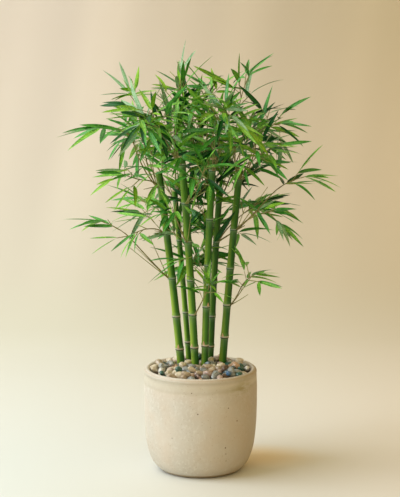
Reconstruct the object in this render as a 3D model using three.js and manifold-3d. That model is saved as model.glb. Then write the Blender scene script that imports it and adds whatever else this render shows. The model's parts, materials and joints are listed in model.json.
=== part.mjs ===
// Potted bamboo: six green canes with cut tops in a round stoneware pot, topped with river pebbles.
// Branches rise from the joints of the canes and each carries one mass of twigs and leaves.
// Millimetres. The origin is the centre of the pot's flat underside, +Z is up, the front faces -Y.
import * as THREE from "three";
import { mergeVertices } from "three/addons/utils/BufferGeometryUtils.js";
import Module from "manifold-3d";

const gap = 0.3; // clearance between neighbouring solids

// ---- pot, soil and pebbles -------------------------------------------------------------------
const pot = {
  height: 276,
  rimRadius: 150,
  bellyRadius: 150.5,
  footRadius: 98,
  wall: 16,
  floor: 18,
  lip: 4.5, // how far the rounded lip rises above its shoulders
  segments: 32,
};
const soilTop = 246;
const pebbles = {
  count: 30,
  edgeTop: 261, // height of the bed against the pot
  crownTop: 276, // height of the bed at its middle
  smallest: 12, // half length
  largest: 17,
  sides: 16, // of the bed's own outline
  seed: 7,
};

// ---- canes -----------------------------------------------------------------------------------
// foot and top: right and back from the centre at the soil, and the cut with its height.
// bow: how far the middle stands to the right of a straight line; joints: their heights.
const caneSides = 9;
const jointSwell = 1.11; // radius at a joint against the radius beside it
const jointHalf = 4.5; // half the length of the swelling
const cutWall = 3.2; // wall of the hollow cane at its cut top
const cutDepth = 14;
const canes = [
  // foot, top, bow, width at foot and top, joints
  [[-49, 33], [-110, 20, 797], 3, [21.5, 18.6], [320, 409, 513, 634, 758]],
  [[-29, 80], [-70, 110, 737], 2, [15.5, 14.2], [327, 407, 506, 602, 710]],
  [[-12.5, 16], [-50, -10, 842], 3, [20.5, 18.8], [328, 418, 511, 615, 718, 821]],
  [[10.5, 16], [33, 0, 836], -3, [18.8, 18], [333, 439, 551, 674, 804]],
  [[25, 58], [51.5, 90, 745], -2, [17.8, 16.6], [320, 401, 495, 601, 713]],
  [[57, 41.5], [104, 50, 801], -2, [21, 18.2], [350, 437, 536, 640, 775]],
].map(([foot, top, bow, width, joints]) => ({ foot, top, bow, width, joints }));

// ---- branches and leaf masses ----------------------------------------------------------------
// cane and joint: where a branch springs, counted from 1 upward; bough: how far its tip lies
// right, back and up from there; stem: how far the mass's stem reaches on from that tip.
// leaf and twig: their full lengths; twigs: side twigs on the stem; fan: leaves on a twig.
const boughSides = 4;
const boughSteps = 4;
const boughRadius = [2.5, 1.9];
const stemRadius = [1.9, 1.2];
const twigRadius = [1.35, 0.95];
const stemSteps = 3;
const leafShape = {
  widestAt: 0.3,
  widthShare: 0.14, // width against length
  keelShare: 0.018, // depth of the folded midrib below the edges, against length
  leastKeel: 1.4,
  sunk: 4.5, // how far the root runs back inside its twig
};
const branches = [
  // name, cane, joint, bough, stem, leaf, twig, twigs, fan, seed
  ["far_left", 1, 5, [-72, -26, 124], [-86, -14, 34], 112, 44, 2, 3, 11],
  ["upper_left", 1, 5, [-44, 28, 150], [-40, 12, 92], 98, 50, 4, 3, 23],
  ["mid_left", 1, 5, [-44, -66, 26], [-52, -50, 22], 84, 46, 4, 3, 31],
  ["low_left", 1, 3, [-104, -30, 106], [-84, -16, 54], 92, 44, 3, 3, 42],
  ["inner_left", 1, 4, [-42, -44, 18], [-42, -26, -8], 80, 40, 3, 3, 53],
  ["front_small", 3, 4, [-28, -62, 66], [-12, -34, 40], 78, 38, 3, 3, 64],
  ["front_left", 3, 6, [-44, -66, 74], [-44, -56, 64], 90, 54, 6, 3, 71],
  ["top_left", 3, 6, [-12, 14, 140], [10, 6, 98], 94, 52, 4, 3, 83],
  ["front_centre", 3, 5, [34, -112, 66], [18, -60, 54], 94, 52, 6, 3, 97],
  ["top_centre", 4, 5, [-12, 26, 126], [-16, 10, 80], 84, 52, 6, 3, 101],
  ["front_upper", 4, 5, [20, -70, 108], [10, -62, 66], 88, 54, 6, 3, 113],
  ["centre_low", 3, 2, [26, -46, 46], [22, -22, 50], 62, 34, 3, 3, 127],
  ["top_right", 6, 5, [-4, -12, 166], [30, -8, 110], 98, 52, 3, 3, 131],
  ["upper_right", 6, 5, [46, -36, 112], [66, -22, 40], 88, 54, 5, 3, 149],
  ["front_right", 6, 5, [34, -112, 62], [42, -62, 38], 86, 50, 4, 3, 151],
  ["far_right", 6, 4, [100, -24, 98], [88, -14, 48], 98, 40, 3, 3, 163],
  ["mid_right", 6, 4, [52, -66, 44], [54, -26, 18], 78, 44, 3, 3, 173],
  ["low_right", 6, 2, [36, -30, 52], [40, -20, 40], 74, 44, 3, 3, 181],
  ["back_left", 2, 5, [-62, 84, 110], [-50, 50, 66], 90, 54, 5, 3, 191],
  ["back_upper", 2, 5, [18, 62, 176], [4, 30, 92], 90, 56, 5, 3, 199],
  ["back_low_left", 2, 4, [-52, 88, 62], [-54, 52, 24], 86, 46, 4, 3, 211],
  ["back_right", 5, 5, [56, 96, 112], [48, 54, 64], 90, 54, 4, 3, 223],
  ["back_centre", 5, 5, [-22, 108, 82], [-8, 62, 44], 88, 52, 5, 3, 227],
  ["centre", 5, 5, [-64, -4, 132], [-12, 8, 84], 86, 52, 6, 3, 241],
  ["back_low_right", 5, 4, [68, 84, 58], [56, 50, 30], 86, 46, 4, 3, 233],
].map(([name, cane, joint, bough, stem, leaf, twig, twigs, fan, seed]) => ({
  name,
  cane,
  joint,
  bough,
  stem,
  leaf,
  twig,
  twigs,
  fan,
  seed,
}));
const cellMargin = 2.5; // a leaf stays this much nearer to its own stem than to any other
const limbMargin = 1.2; // air between a leaf or twig and any cane or branch

// ---- finishes --------------------------------------------------------------------------------
const finish = (colour, roughness) =>
  new THREE.MeshStandardMaterial({ color: colour, roughness, metalness: 0 });
const stoneware = 0xcbbfa3;
const earth = 0x4a3524;
const riverStone = 0x9a8c7c;
const caneGreen = 0x5a8f22;
const twigOlive = 0x6f7a3a;
const leafGreen = 0x3f8a24;

// ---- solids ----------------------------------------------------------------------------------
const wasm = await Module();
wasm.setup();

// Seeded numbers from 0 up to 1, the same on every run.
function seeded(seed) {
  let state = seed >>> 0;
  return () => {
    state = (state + 0x6d2b79f5) >>> 0;
    let t = state;
    t = Math.imul(t ^ (t >>> 15), t | 1);
    t ^= t + Math.imul(t ^ (t >>> 7), t | 61);
    return ((t ^ (t >>> 14)) >>> 0) / 4294967296;
  };
}

function solidFrom(points, faces) {
  const vertProperties = new Float32Array(points.flatMap((p) => [p.x, p.y, p.z]));
  const triVerts = new Uint32Array(faces.flat());
  return new wasm.Manifold(new wasm.Mesh({ numProp: 3, vertProperties, triVerts }));
}

function solidOf(geometry) {
  const bare = geometry.clone();
  bare.deleteAttribute("normal");
  bare.deleteAttribute("uv");
  const merged = mergeVertices(bare, 1e-4);
  return new wasm.Manifold(
    new wasm.Mesh({
      numProp: 3,
      vertProperties: new Float32Array(merged.attributes.position.array),
      triVerts: new Uint32Array(merged.index.array),
    }),
  );
}

function geometryOf(solid) {
  const mesh = solid.getMesh();
  const count = mesh.vertProperties.length / mesh.numProp;
  const position = new Float32Array(count * 3);
  for (let i = 0; i < count; i += 1) {
    position.set(mesh.vertProperties.subarray(i * mesh.numProp, i * mesh.numProp + 3), i * 3);
  }
  const indexed = new THREE.BufferGeometry();
  indexed.setAttribute("position", new THREE.BufferAttribute(position, 3));
  indexed.setIndex(new THREE.BufferAttribute(new Uint32Array(mesh.triVerts), 1));
  const flat = indexed.toNonIndexed();
  flat.computeVertexNormals();
  return flat;
}

const group = new THREE.Group();
function addPart(name, geometry, colour, roughness) {
  const mesh = new THREE.Mesh(geometry, finish(colour, roughness));
  mesh.name = name;
  group.add(mesh);
}

// A closed tube through the points, one radius at each, with flat ends and no twist.
function tube(points, radii, sides, startRing, endRing) {
  const rings = [];
  const ahead = points.map((p, i) => {
    const before = points[Math.max(i - 1, 0)];
    const after = points[Math.min(i + 1, points.length - 1)];
    return after.clone().sub(before).normalize();
  });
  let side = new THREE.Vector3(1, 0, 0);
  if (Math.abs(ahead[0].x) > 0.8) side = new THREE.Vector3(0, 1, 0);
  points.forEach((p, i) => {
    side = side.clone().addScaledVector(ahead[i], -side.dot(ahead[i])).normalize();
    const third = ahead[i].clone().cross(side);
    const ring = [];
    for (let k = 0; k < sides; k += 1) {
      const turn = (2 * Math.PI * k) / sides;
      ring.push(
        p
          .clone()
          .addScaledVector(side, radii[i] * Math.cos(turn))
          .addScaledVector(third, radii[i] * Math.sin(turn)),
      );
    }
    rings.push(ring);
  });
  const n = points.length - 1;
  if (startRing) rings[0] = startRing(rings[0], points[0], ahead[0]);
  if (endRing) rings[n] = endRing(rings[n], points[n], ahead[n]);
  const vertices = rings.flat();
  const faces = [];
  for (let i = 0; i + 1 < rings.length; i += 1) {
    for (let k = 0; k < sides; k += 1) {
      const a = i * sides + k;
      const b = i * sides + ((k + 1) % sides);
      faces.push([a, b, b + sides]);
      faces.push([a, b + sides, a + sides]);
    }
  }
  const last = (rings.length - 1) * sides;
  for (let k = 1; k + 1 < sides; k += 1) {
    faces.push([0, k + 1, k]);
    faces.push([last, last + k, last + k + 1]);
  }
  return solidFrom(vertices, faces);
}

function lathe(profile, segments) {
  const points = profile.map(([r, z]) => new THREE.Vector2(r, z));
  return solidOf(new THREE.LatheGeometry(points, segments).rotateX(Math.PI / 2));
}

const up = new THREE.Vector3(0, 0, 1);

// ---- distances -------------------------------------------------------------------------------
function pointToSegment(p, a, b) {
  const along = b.clone().sub(a);
  const t = THREE.MathUtils.clamp(p.clone().sub(a).dot(along) / along.lengthSq(), 0, 1);
  return p.distanceTo(a.clone().addScaledVector(along, t));
}

function segmentToSegment(a, b, c, d) {
  const u = b.clone().sub(a);
  const v = d.clone().sub(c);
  const w = a.clone().sub(c);
  const uu = u.dot(u);
  const uv = u.dot(v);
  const vv = v.dot(v);
  const uw = u.dot(w);
  const vw = v.dot(w);
  const flat = uu * vv - uv * uv;
  const clamp = THREE.MathUtils.clamp;
  let s = flat > 1e-9 ? clamp((uv * vw - vv * uw) / flat, 0, 1) : 0;
  const t = clamp((uv * s + vw) / vv, 0, 1);
  s = clamp((uv * t - uw) / uu, 0, 1);
  return a
    .clone()
    .addScaledVector(u, s)
    .distanceTo(c.clone().addScaledVector(v, t));
}

// ---- the canes' own shape --------------------------------------------------------------------
function canePoint(cane, z) {
  const t = (z - soilTop) / (cane.top[2] - soilTop);
  const bow = cane.bow * 4 * t * (1 - t);
  return new THREE.Vector3(
    THREE.MathUtils.lerp(cane.foot[0], cane.top[0], t) + bow,
    THREE.MathUtils.lerp(cane.foot[1], cane.top[1], t),
    z,
  );
}

function caneRadius(cane, z) {
  const t = (z - soilTop) / (cane.top[2] - soilTop);
  return THREE.MathUtils.lerp(cane.width[0], cane.width[1], t) / 2;
}

function caneSolid(cane, grow) {
  const stations = [[soilTop + gap, 1]];
  cane.joints.forEach((z) => {
    stations.push([z - jointHalf, 1]);
    stations.push([z, jointSwell]);
    stations.push([z + jointHalf, 1]);
  });
  stations.push([cane.top[2], 1]);
  const points = stations.map(([z]) => canePoint(cane, z));
  const radii = stations.map(([z, swell]) => caneRadius(cane, z) * swell + grow);
  return tube(points, radii, caneSides, level, level);
}

// A level cut: the ring is slid along the cane to one height.
function level(ring, centre, ahead) {
  return ring.map((p) => p.clone().addScaledVector(ahead, (centre.z - p.z) / ahead.z));
}

function hollowTop(cane) {
  const top = cane.top[2];
  const inner = caneRadius(cane, top) - cutWall;
  const heights = [top - cutDepth, top + 2];
  const points = heights.map((z) => canePoint(cane, z));
  return tube(points, [inner, inner], 6);
}

const limbs = []; // every cane and branch as straight stretches with a radius, to keep leaves clear
canes.forEach((cane, i) => {
  const heights = [soilTop, ...cane.joints, cane.top[2]];
  for (let k = 0; k + 1 < heights.length; k += 1) {
    limbs.push({
      from: canePoint(cane, heights[k]),
      to: canePoint(cane, heights[k + 1]),
      radius: caneRadius(cane, heights[k]) * jointSwell,
    });
  }
  addPart("cane_" + (i + 1), geometryOf(caneSolid(cane, 0).subtract(hollowTop(cane))), caneGreen, 0.38);
});

// ---- pot, soil and pebble bed ----------------------------------------------------------------
const innerRim = pot.rimRadius - pot.wall;
const potProfile = [
  [0, 0],
  [pot.footRadius, 0],
  [pot.footRadius + 11, 4.5],
  [pot.footRadius + 21, 13],
  [pot.footRadius + 30, 26],
  [pot.footRadius + 38, 44],
  [pot.footRadius + 44.5, 70],
  [pot.rimRadius - 2.6, 110],
  [pot.bellyRadius, 170],
  [pot.bellyRadius, 235],
  [pot.rimRadius, pot.height - 2 * pot.lip],
  [pot.rimRadius - 3, pot.height - 0.4 * pot.lip],
  [pot.rimRadius - 7.5, pot.height],
  [innerRim + 2, pot.height - 0.4 * pot.lip],
  [innerRim, pot.height - 2 * pot.lip],
  [innerRim - 1, 150],
  [innerRim - 6, 66],
  [innerRim - 22, 30],
  [innerRim - 44, pot.floor],
  [0, pot.floor],
];
addPart("pot", geometryOf(lathe(potProfile, pot.segments)), stoneware, 0.72);

const soilProfile = [
  [0, pot.floor + gap],
  [innerRim - 44, pot.floor + gap],
  [innerRim - 22 - gap, 30 + gap],
  [innerRim - 6 - 1.3 * gap, 66 + gap],
  [innerRim - 1 - 1.3 * gap, 150],
  [innerRim - 0.8 - gap, soilTop],
  [0, soilTop],
];
addPart("soil", geometryOf(lathe(soilProfile, pot.segments)), earth, 0.95);

function pebbleBed() {
  const edge = innerRim - 0.8 - gap;
  let bed = lathe(
    [
      [0, soilTop + gap],
      [edge, soilTop + gap],
      [edge, pebbles.edgeTop],
      [edge * 0.6, pebbles.crownTop - 2],
      [0, pebbles.crownTop],
    ],
    pebbles.sides,
  );
  const random = seeded(pebbles.seed);
  for (let i = 0; i < pebbles.count; i += 1) {
    const half = THREE.MathUtils.lerp(pebbles.smallest, pebbles.largest, random());
    const far = (edge - half - 0.6) * Math.sqrt((i + 0.5) / pebbles.count);
    const turn = i * 2.39996 + 0.2 * random();
    const height = THREE.MathUtils.lerp(pebbles.crownTop, pebbles.edgeTop, (far / edge) ** 2);
    const pebble = new THREE.IcosahedronGeometry(1, 0)
      .scale(half, half * (0.62 + 0.22 * random()), half * (0.45 + 0.15 * random()))
      .rotateX(0.5 * (random() - 0.5))
      .rotateZ(6.283 * random())
      .translate(far * Math.cos(turn), far * Math.sin(turn), height + 3.5 * random());
    bed = bed.add(solidOf(pebble));
  }
  canes.forEach((cane) => {
    const points = [canePoint(cane, soilTop - 4), canePoint(cane, 305)];
    const clear = cane.width[0] / 2 + gap + 0.1;
    bed = bed.subtract(tube(points, [clear, clear], caneSides));
  });
  return bed;
}
addPart("pebbles", geometryOf(pebbleBed()), riverStone, 0.45);

// ---- branches --------------------------------------------------------------------------------
function vector(list) {
  return new THREE.Vector3(...list);
}

function bend(from, control, to, t) {
  const a = from.clone().lerp(control, t);
  const b = control.clone().lerp(to, t);
  return a.lerp(b, t);
}

// A branch leaves its joint at 45 degrees upward and bends toward its tip.
function boughPath(row) {
  const cane = canes[row.cane - 1];
  const height = cane.joints[row.joint - 1];
  const axis = canePoint(cane, height);
  const tip = axis.clone().add(vector(row.bough));
  const outward = new THREE.Vector3(row.bough[0], row.bough[1], 0).normalize();
  const reach = caneRadius(cane, height) * jointSwell + gap;
  const start = axis.clone().addScaledVector(outward, reach);
  const leaves = outward.clone().add(up).normalize();
  const control = start.clone().addScaledVector(leaves, 0.4 * start.distanceTo(tip));
  const points = [];
  for (let i = 0; i <= boughSteps; i += 1) points.push(bend(start, control, tip, i / boughSteps));
  return { cane, reach, points };
}

const paths = branches.map(boughPath);

paths.forEach((path, i) => {
  const row = branches[i];
  const { points, cane, reach } = path;
  const radii = points.map((p, k) => THREE.MathUtils.lerp(...boughRadius, k / boughSteps));
  // The root ring is slid along the branch until it sits just clear of the joint's round face.
  const seat = (ring, centre, ahead) =>
    ring.map((p) => {
      const axis = canePoint(cane, p.z);
      const flatAhead = new THREE.Vector2(ahead.x, ahead.y);
      const off = new THREE.Vector2(p.x - axis.x, p.y - axis.y);
      const a = flatAhead.lengthSq();
      const b = off.dot(flatAhead);
      const c = off.lengthSq() - reach * reach;
      const root = b * b - a * c;
      const t = root > 0 && a > 0.01 ? (-b + Math.sqrt(root)) / a : 0;
      return p.clone().addScaledVector(ahead, THREE.MathUtils.clamp(t, -4, 4));
    });
  addPart("branch_" + row.name, geometryOf(tube(points, radii, boughSides, seat)), twigOlive, 0.6);
  for (let k = 0; k + 1 < points.length; k += 1) {
    limbs.push({ from: points[k], to: points[k + 1], radius: radii[k], bough: i });
  }
});

// ---- leaf masses -----------------------------------------------------------------------------
function stemOf(row, path) {
  const points = path.points;
  const tip = points[points.length - 1];
  const ahead = tip.clone().sub(points[points.length - 2]).normalize();
  const root = tip.clone().addScaledVector(ahead, gap);
  const end = root.clone().add(vector(row.stem));
  const control = root.clone().addScaledVector(ahead, 0.45 * vector(row.stem).length());
  return { root, control, end, ahead };
}
const stems = branches.map((row, i) => stemOf(row, paths[i]));

function toStem(p, stem) {
  const middle = bend(stem.root, stem.control, stem.end, 0.5);
  return Math.min(pointToSegment(p, stem.root, middle), pointToSegment(p, middle, stem.end));
}

function inOwnSpace(p, own) {
  const near = toStem(p, stems[own]) + cellMargin;
  return stems.every((stem, i) => i === own || toStem(p, stem) > near);
}

function clearOfLimbs(a, b, half) {
  return limbs.every((limb) => segmentToSegment(a, b, limb.from, limb.to) > limb.radius + half + limbMargin);
}

// A six-faced blade: root, tip, two edges at its widest, and the keel of its folded midrib.
function leafPoints(root, base, tip, face, length) {
  const along = tip.clone().sub(base).normalize();
  const across = along.clone().cross(face).normalize();
  const top = across.clone().cross(along);
  const half = (leafShape.widthShare * length) / 2;
  const keel = Math.max(leafShape.keelShare * length, leafShape.leastKeel);
  const wide = base.clone().addScaledVector(along, leafShape.widestAt * length);
  return [
    root,
    tip,
    wide.clone().addScaledVector(across, -half),
    wide.clone().addScaledVector(across, half),
    wide.clone().addScaledVector(top, -keel),
  ];
}
const leafFaces = [
  [0, 3, 2],
  [1, 2, 3],
  [0, 2, 4],
  [0, 4, 3],
  [1, 4, 2],
  [1, 3, 4],
];

// One shoot: a twig with a fan of leaves toward its end, the sides taken in turn.
function shoot(own, from, ahead, length, fan, row, random, pieces, radii) {
  const end = from.clone().addScaledVector(ahead, length);
  const tilt = new THREE.Vector3(random() - 0.5, random() - 0.5, 0).multiplyScalar(1.5);
  const side = ahead.clone().cross(up.clone().add(tilt)).normalize();
  const mid = from.clone().lerp(end, 0.5);
  const begin = from.clone().addScaledVector(ahead, 0.25 * length);
  const fits =
    inOwnSpace(end, own) && inOwnSpace(mid, own) && clearOfLimbs(begin, end, radii[1]);
  if (length > 0 && !fits) return 0;
  if (length > 0) pieces.push(tube([from, end], radii, 3));
  let kept = 0;
  for (let k = 0; k < fan; k += 1) {
    const share = 1 - 0.16 * k;
    const turn = k === 0 ? 0.24 * (random() - 0.5) : (k % 2 ? 1 : -1) * (0.5 + 0.4 * random());
    const droop = 0.08 + 0.34 * random();
    const long = row.leaf * (0.78 + 0.3 * random()) * (k > 2 ? 0.86 : 1);
    const roll = new THREE.Vector3(random() - 0.5, random() - 0.5, 0).multiplyScalar(1.6);
    const base = from.clone().addScaledVector(ahead, Math.max(length, 12) * share);
    if (length === 0) base.copy(from);
    const aim = ahead.clone().multiplyScalar(Math.cos(turn)).addScaledVector(side, Math.sin(turn));
    aim.z -= droop;
    aim.normalize();
    const tip = base.clone().addScaledVector(aim, long);
    const root = base.clone().addScaledVector(ahead, -leafShape.sunk);
    const blade = leafPoints(root, base, tip, up.clone().add(roll), long);
    const half = (leafShape.widthShare * long) / 2;
    const checks = blade.slice(1);
    for (let n = 1; n < 7; n += 1) checks.push(base.clone().lerp(tip, n / 7));
    if (!checks.every((p) => inOwnSpace(p, own))) continue;
    if (!clearOfLimbs(base, tip, half)) continue;
    pieces.push(solidFrom(blade, leafFaces));
    kept += 1;
  }
  return kept;
}

function massSolid(row, own) {
  const random = seeded(row.seed);
  const { root, control, end } = stems[own];
  const facing = stems[own].ahead;
  const points = [];
  for (let i = 0; i <= stemSteps; i += 1) points.push(bend(root, control, end, i / stemSteps));
  const radii = points.map((p, k) => THREE.MathUtils.lerp(...stemRadius, k / stemSteps));
  // The first ring is squared to the branch's cut tip.
  const square = (ring, centre, along) =>
    ring.map((p) => {
      const off = p.clone().sub(centre).dot(facing);
      return p.clone().addScaledVector(along, -off / along.dot(facing));
    });
  const pieces = [tube(points, radii, 4, square)];
  const first = 6.283 * random();
  for (let k = 0; k < row.twigs; k += 1) {
    const at = 0.1 + (0.82 * (k + 0.6 * random())) / row.twigs;
    const step = Math.min(Math.floor(at * stemSteps), stemSteps - 1);
    const from = points[step].clone().lerp(points[step + 1], at * stemSteps - step);
    const ahead = points[step + 1].clone().sub(points[step]).normalize();
    const side = ahead.clone().cross(Math.abs(ahead.z) > 0.9 ? new THREE.Vector3(1, 0, 0) : up).normalize();
    const third = side.clone().cross(ahead);
    const turn = first + k * 2.4 + 0.5 * random();
    const spread = 0.6 + 0.42 * random();
    const length = row.twig * (0.75 + 0.5 * random()) * (1 - 0.3 * at);
    const aim = ahead
      .clone()
      .multiplyScalar(Math.cos(spread))
      .addScaledVector(side, Math.sin(spread) * Math.cos(turn))
      .addScaledVector(third, Math.sin(spread) * Math.sin(turn))
      .normalize();
    shoot(own, from, aim, length, row.fan, row, random, pieces, twigRadius);
  }
  const ahead = end.clone().sub(points[stemSteps - 1]).normalize();
  const tipFrom = end.clone().addScaledVector(ahead, -14);
  shoot(own, tipFrom, ahead, 14, row.fan + 1, row, random, pieces, [stemRadius[1], twigRadius[1]]);
  let solid = pieces[0];
  pieces.slice(1).forEach((piece) => {
    solid = solid.add(piece);
  });
  return solid;
}

branches.forEach((row, i) => {
  addPart("leaves_" + row.name, geometryOf(massSolid(row, i)), leafGreen, 0.5);
});

export default group;
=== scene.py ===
import bmesh
import bpy
import json
import math
import numpy as np
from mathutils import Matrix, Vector, noise

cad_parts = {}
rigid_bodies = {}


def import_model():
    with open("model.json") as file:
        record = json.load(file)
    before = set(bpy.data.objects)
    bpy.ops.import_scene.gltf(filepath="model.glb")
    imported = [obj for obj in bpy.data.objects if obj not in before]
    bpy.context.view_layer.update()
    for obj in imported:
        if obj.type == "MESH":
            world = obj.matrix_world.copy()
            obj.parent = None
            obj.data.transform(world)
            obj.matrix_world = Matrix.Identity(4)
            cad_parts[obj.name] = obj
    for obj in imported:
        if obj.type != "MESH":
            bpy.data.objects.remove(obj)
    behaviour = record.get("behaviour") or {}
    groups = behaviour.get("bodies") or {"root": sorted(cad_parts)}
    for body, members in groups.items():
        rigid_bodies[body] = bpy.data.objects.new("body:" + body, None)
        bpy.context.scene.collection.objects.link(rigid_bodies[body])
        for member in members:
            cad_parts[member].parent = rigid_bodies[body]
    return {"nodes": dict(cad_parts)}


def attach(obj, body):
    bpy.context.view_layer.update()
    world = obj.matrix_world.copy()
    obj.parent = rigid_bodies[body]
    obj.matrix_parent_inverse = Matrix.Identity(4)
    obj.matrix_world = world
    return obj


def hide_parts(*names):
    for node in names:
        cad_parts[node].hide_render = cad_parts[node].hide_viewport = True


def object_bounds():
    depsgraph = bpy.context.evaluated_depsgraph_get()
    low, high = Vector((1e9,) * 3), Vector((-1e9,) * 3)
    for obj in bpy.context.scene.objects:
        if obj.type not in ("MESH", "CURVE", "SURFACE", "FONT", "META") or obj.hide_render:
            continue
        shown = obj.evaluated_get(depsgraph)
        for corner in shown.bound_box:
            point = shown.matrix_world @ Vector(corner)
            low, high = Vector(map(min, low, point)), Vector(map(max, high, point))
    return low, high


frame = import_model()
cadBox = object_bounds()
scene = bpy.context.scene
mm = 0.001
up = np.array([0.0, 0.0, 1.0])
halfTurn, fullTurn = 3.14, 6.283  # rounded as in the solids' rule


def addObject(name, mesh, materials=()):
    piece = bpy.data.objects.new(name, mesh)
    scene.collection.objects.link(piece)
    for material in materials:
        mesh.materials.append(material)
    return piece


def meshFrom(name, vertices, faces, slots=None):
    mesh = bpy.data.meshes.new(name)
    mesh.from_pydata([tuple(v) for v in vertices], [], faces)
    mesh.update()
    mesh.polygons.foreach_set("use_smooth", [True] * len(mesh.polygons))
    if slots:
        mesh.polygons.foreach_set("material_index", slots)
    return mesh


def finishPiece(piece, slot, *nodes):
    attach(piece, "root")
    if nodes:
        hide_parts(*nodes)


def seeded(seed):
    state = seed & 0xFFFFFFFF

    def draw():
        nonlocal state
        state = (state + 0x6D2B79F5) & 0xFFFFFFFF
        t = state
        t = ((t ^ (t >> 15)) * (t | 1)) & 0xFFFFFFFF
        t ^= (t + (((t ^ (t >> 7)) * (t | 61)) & 0xFFFFFFFF)) & 0xFFFFFFFF
        return ((t ^ (t >> 14)) & 0xFFFFFFFF) / 4294967296

    return draw


def drawn(random, least, spare):
    return least + spare * random()


def unit(v):
    return v / np.linalg.norm(v)


def lerp(a, b, t):
    return a + (b - a) * t


def bend(start, control, end, t):
    return lerp(lerp(start, control, t), lerp(control, end, t), t)


def around(turn, out=1.0, z=0.0):
    return np.array([out * math.cos(turn), out * math.sin(turn), z])


def node(tree, kind, inputs=(), **settings):
    # each input is a value or the socket that feeds it, given by place or by name
    made = tree.nodes.new(kind)
    for key, value in settings.items():
        setattr(made, key, value)
    for key, value in inputs.items() if isinstance(inputs, dict) else enumerate(inputs):
        if isinstance(value, bpy.types.NodeSocket):
            tree.links.new(value, made.inputs[key])
        else:
            made.inputs[key].default_value = value
    return made


def maths(tree, operation, *inputs):
    return node(tree, "ShaderNodeMath", inputs, operation=operation).outputs[0]


def vectors(tree, operation, *inputs):
    made = node(tree, "ShaderNodeVectorMath", inputs, operation=operation)
    return made.outputs["Value" if operation in ("LENGTH", "DISTANCE", "DOT_PRODUCT") else "Vector"]


def scaled(tree, vector, scale):
    return node(tree, "ShaderNodeVectorMath", {0: vector, "Scale": scale}, operation="SCALE").outputs[0]


def ranged(tree, value, low, high, toLow=0.0, toHigh=1.0, **settings):
    ends = {"Value": value, "From Min": low, "From Max": high, "To Min": toLow, "To Max": toHigh}
    return node(tree, "ShaderNodeMapRange", ends, **settings).outputs[0]


def mixed(tree, amount, below, above):
    inputs = {0: amount, "A": below, "B": above}
    return node(tree, "ShaderNodeMix", inputs, data_type="RGBA").outputs["Result"]


def noisy(tree, place, scale, detail, rough=0.5, **settings):
    inputs = {"Vector": place, "Scale": scale, "Detail": detail, "Roughness": rough}
    return node(tree, "ShaderNodeTexNoise", inputs, **settings).outputs[0]


def objectPlace(tree):
    return node(tree, "ShaderNodeTexCoord").outputs["Object"]


def apart(tree, vector):
    return node(tree, "ShaderNodeSeparateXYZ", [vector]).outputs


def addBump(tree, shader, height, strength, distance):
    raised = node(tree, "ShaderNodeBump", {"Strength": strength, "Distance": distance, "Height": height})
    tree.links.new(raised.outputs["Normal"], shader.inputs["Normal"])


def newMaterial(name, sockets):
    material = bpy.data.materials.new(name)
    material.use_nodes = True
    shader = material.node_tree.nodes["Principled BSDF"]
    for key, value in sockets.items():
        shader.inputs[key].default_value = value
    return material, material.node_tree, shader


def colour(hexCode):
    parts = [int(hexCode[i : i + 2], 16) / 255 for i in (0, 2, 4)]
    return [c / 12.92 if c <= 0.04045 else ((c + 0.055) / 1.055) ** 2.4 for c in parts] + [1.0]


def mottleGroup():
    # patches and grain in Object coordinates, mixed into one colour and one bump height
    patchEdges, grainEdges = (0.36, 0.64), (0.5, 0.72)
    group = bpy.data.node_groups.new("mottle", "ShaderNodeTree")
    for name, kind in (("Dark", "Color"), ("Middle", "Color"), ("Light", "Color"), ("Patch Scale", "Float"),
                       ("Grain Scale", "Float"), ("Stretch", "Vector")):
        group.interface.new_socket(name, in_out="INPUT", socket_type="NodeSocket" + kind)
    for name, kind in (("Color", "Color"), ("Height", "Float")):
        group.interface.new_socket(name, in_out="OUTPUT", socket_type="NodeSocket" + kind)
    given = node(group, "NodeGroupInput").outputs
    place = vectors(group, "MULTIPLY", objectPlace(group), given["Stretch"])
    patch = noisy(group, place, given["Patch Scale"], 3.0, 0.55)
    grain = noisy(group, place, given["Grain Scale"], 4.0, 0.65)
    tone = mixed(group, ranged(group, patch, *patchEdges), given["Dark"], given["Middle"])
    tone = mixed(group, ranged(group, grain, *grainEdges), tone, given["Light"])
    node(group, "NodeGroupOutput", {"Color": tone, "Height": grain})
    return group


mottle = mottleGroup()


def addMottle(tree, shader, tones, patch, grain, bump=0.0, stretch=(1, 1, 1)):
    # tones run from dark to light; gives back the mixed colour
    inputs = dict(zip(("Dark", "Middle", "Light"), tones))
    inputs.update({"Patch Scale": patch, "Grain Scale": grain, "Stretch": stretch})
    made = node(tree, "ShaderNodeGroup", inputs, node_tree=mottle).outputs
    tree.links.new(made["Color"], shader.inputs["Base Color"])
    if bump:
        addBump(tree, shader, made["Height"], bump, 0.0006)
    return made["Color"]


def geometryTree(name, sockets):
    tree = bpy.data.node_groups.new(name, "GeometryNodeTree")
    for socket, kind in (("Geometry", "Geometry"), *sockets, ("Material", "Material")):
        tree.interface.new_socket(socket, in_out="INPUT", socket_type="NodeSocket" + kind)
    tree.interface.new_socket("Geometry", in_out="OUTPUT", socket_type="NodeSocketGeometry")
    return tree, node(tree, "NodeGroupInput").outputs


def finishTree(tree, given, shape):
    real = node(tree, "GeometryNodeRealizeInstances", [shape]).outputs[0]
    paint = node(tree, "GeometryNodeSetMaterial", {"Geometry": real, "Material": given["Material"]})
    node(tree, "NodeGroupOutput", [paint.outputs[0]])
    return tree


def named(tree, name, kind):
    return node(tree, "GeometryNodeInputNamedAttribute", {"Name": name}, data_type=kind).outputs[0]


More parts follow.
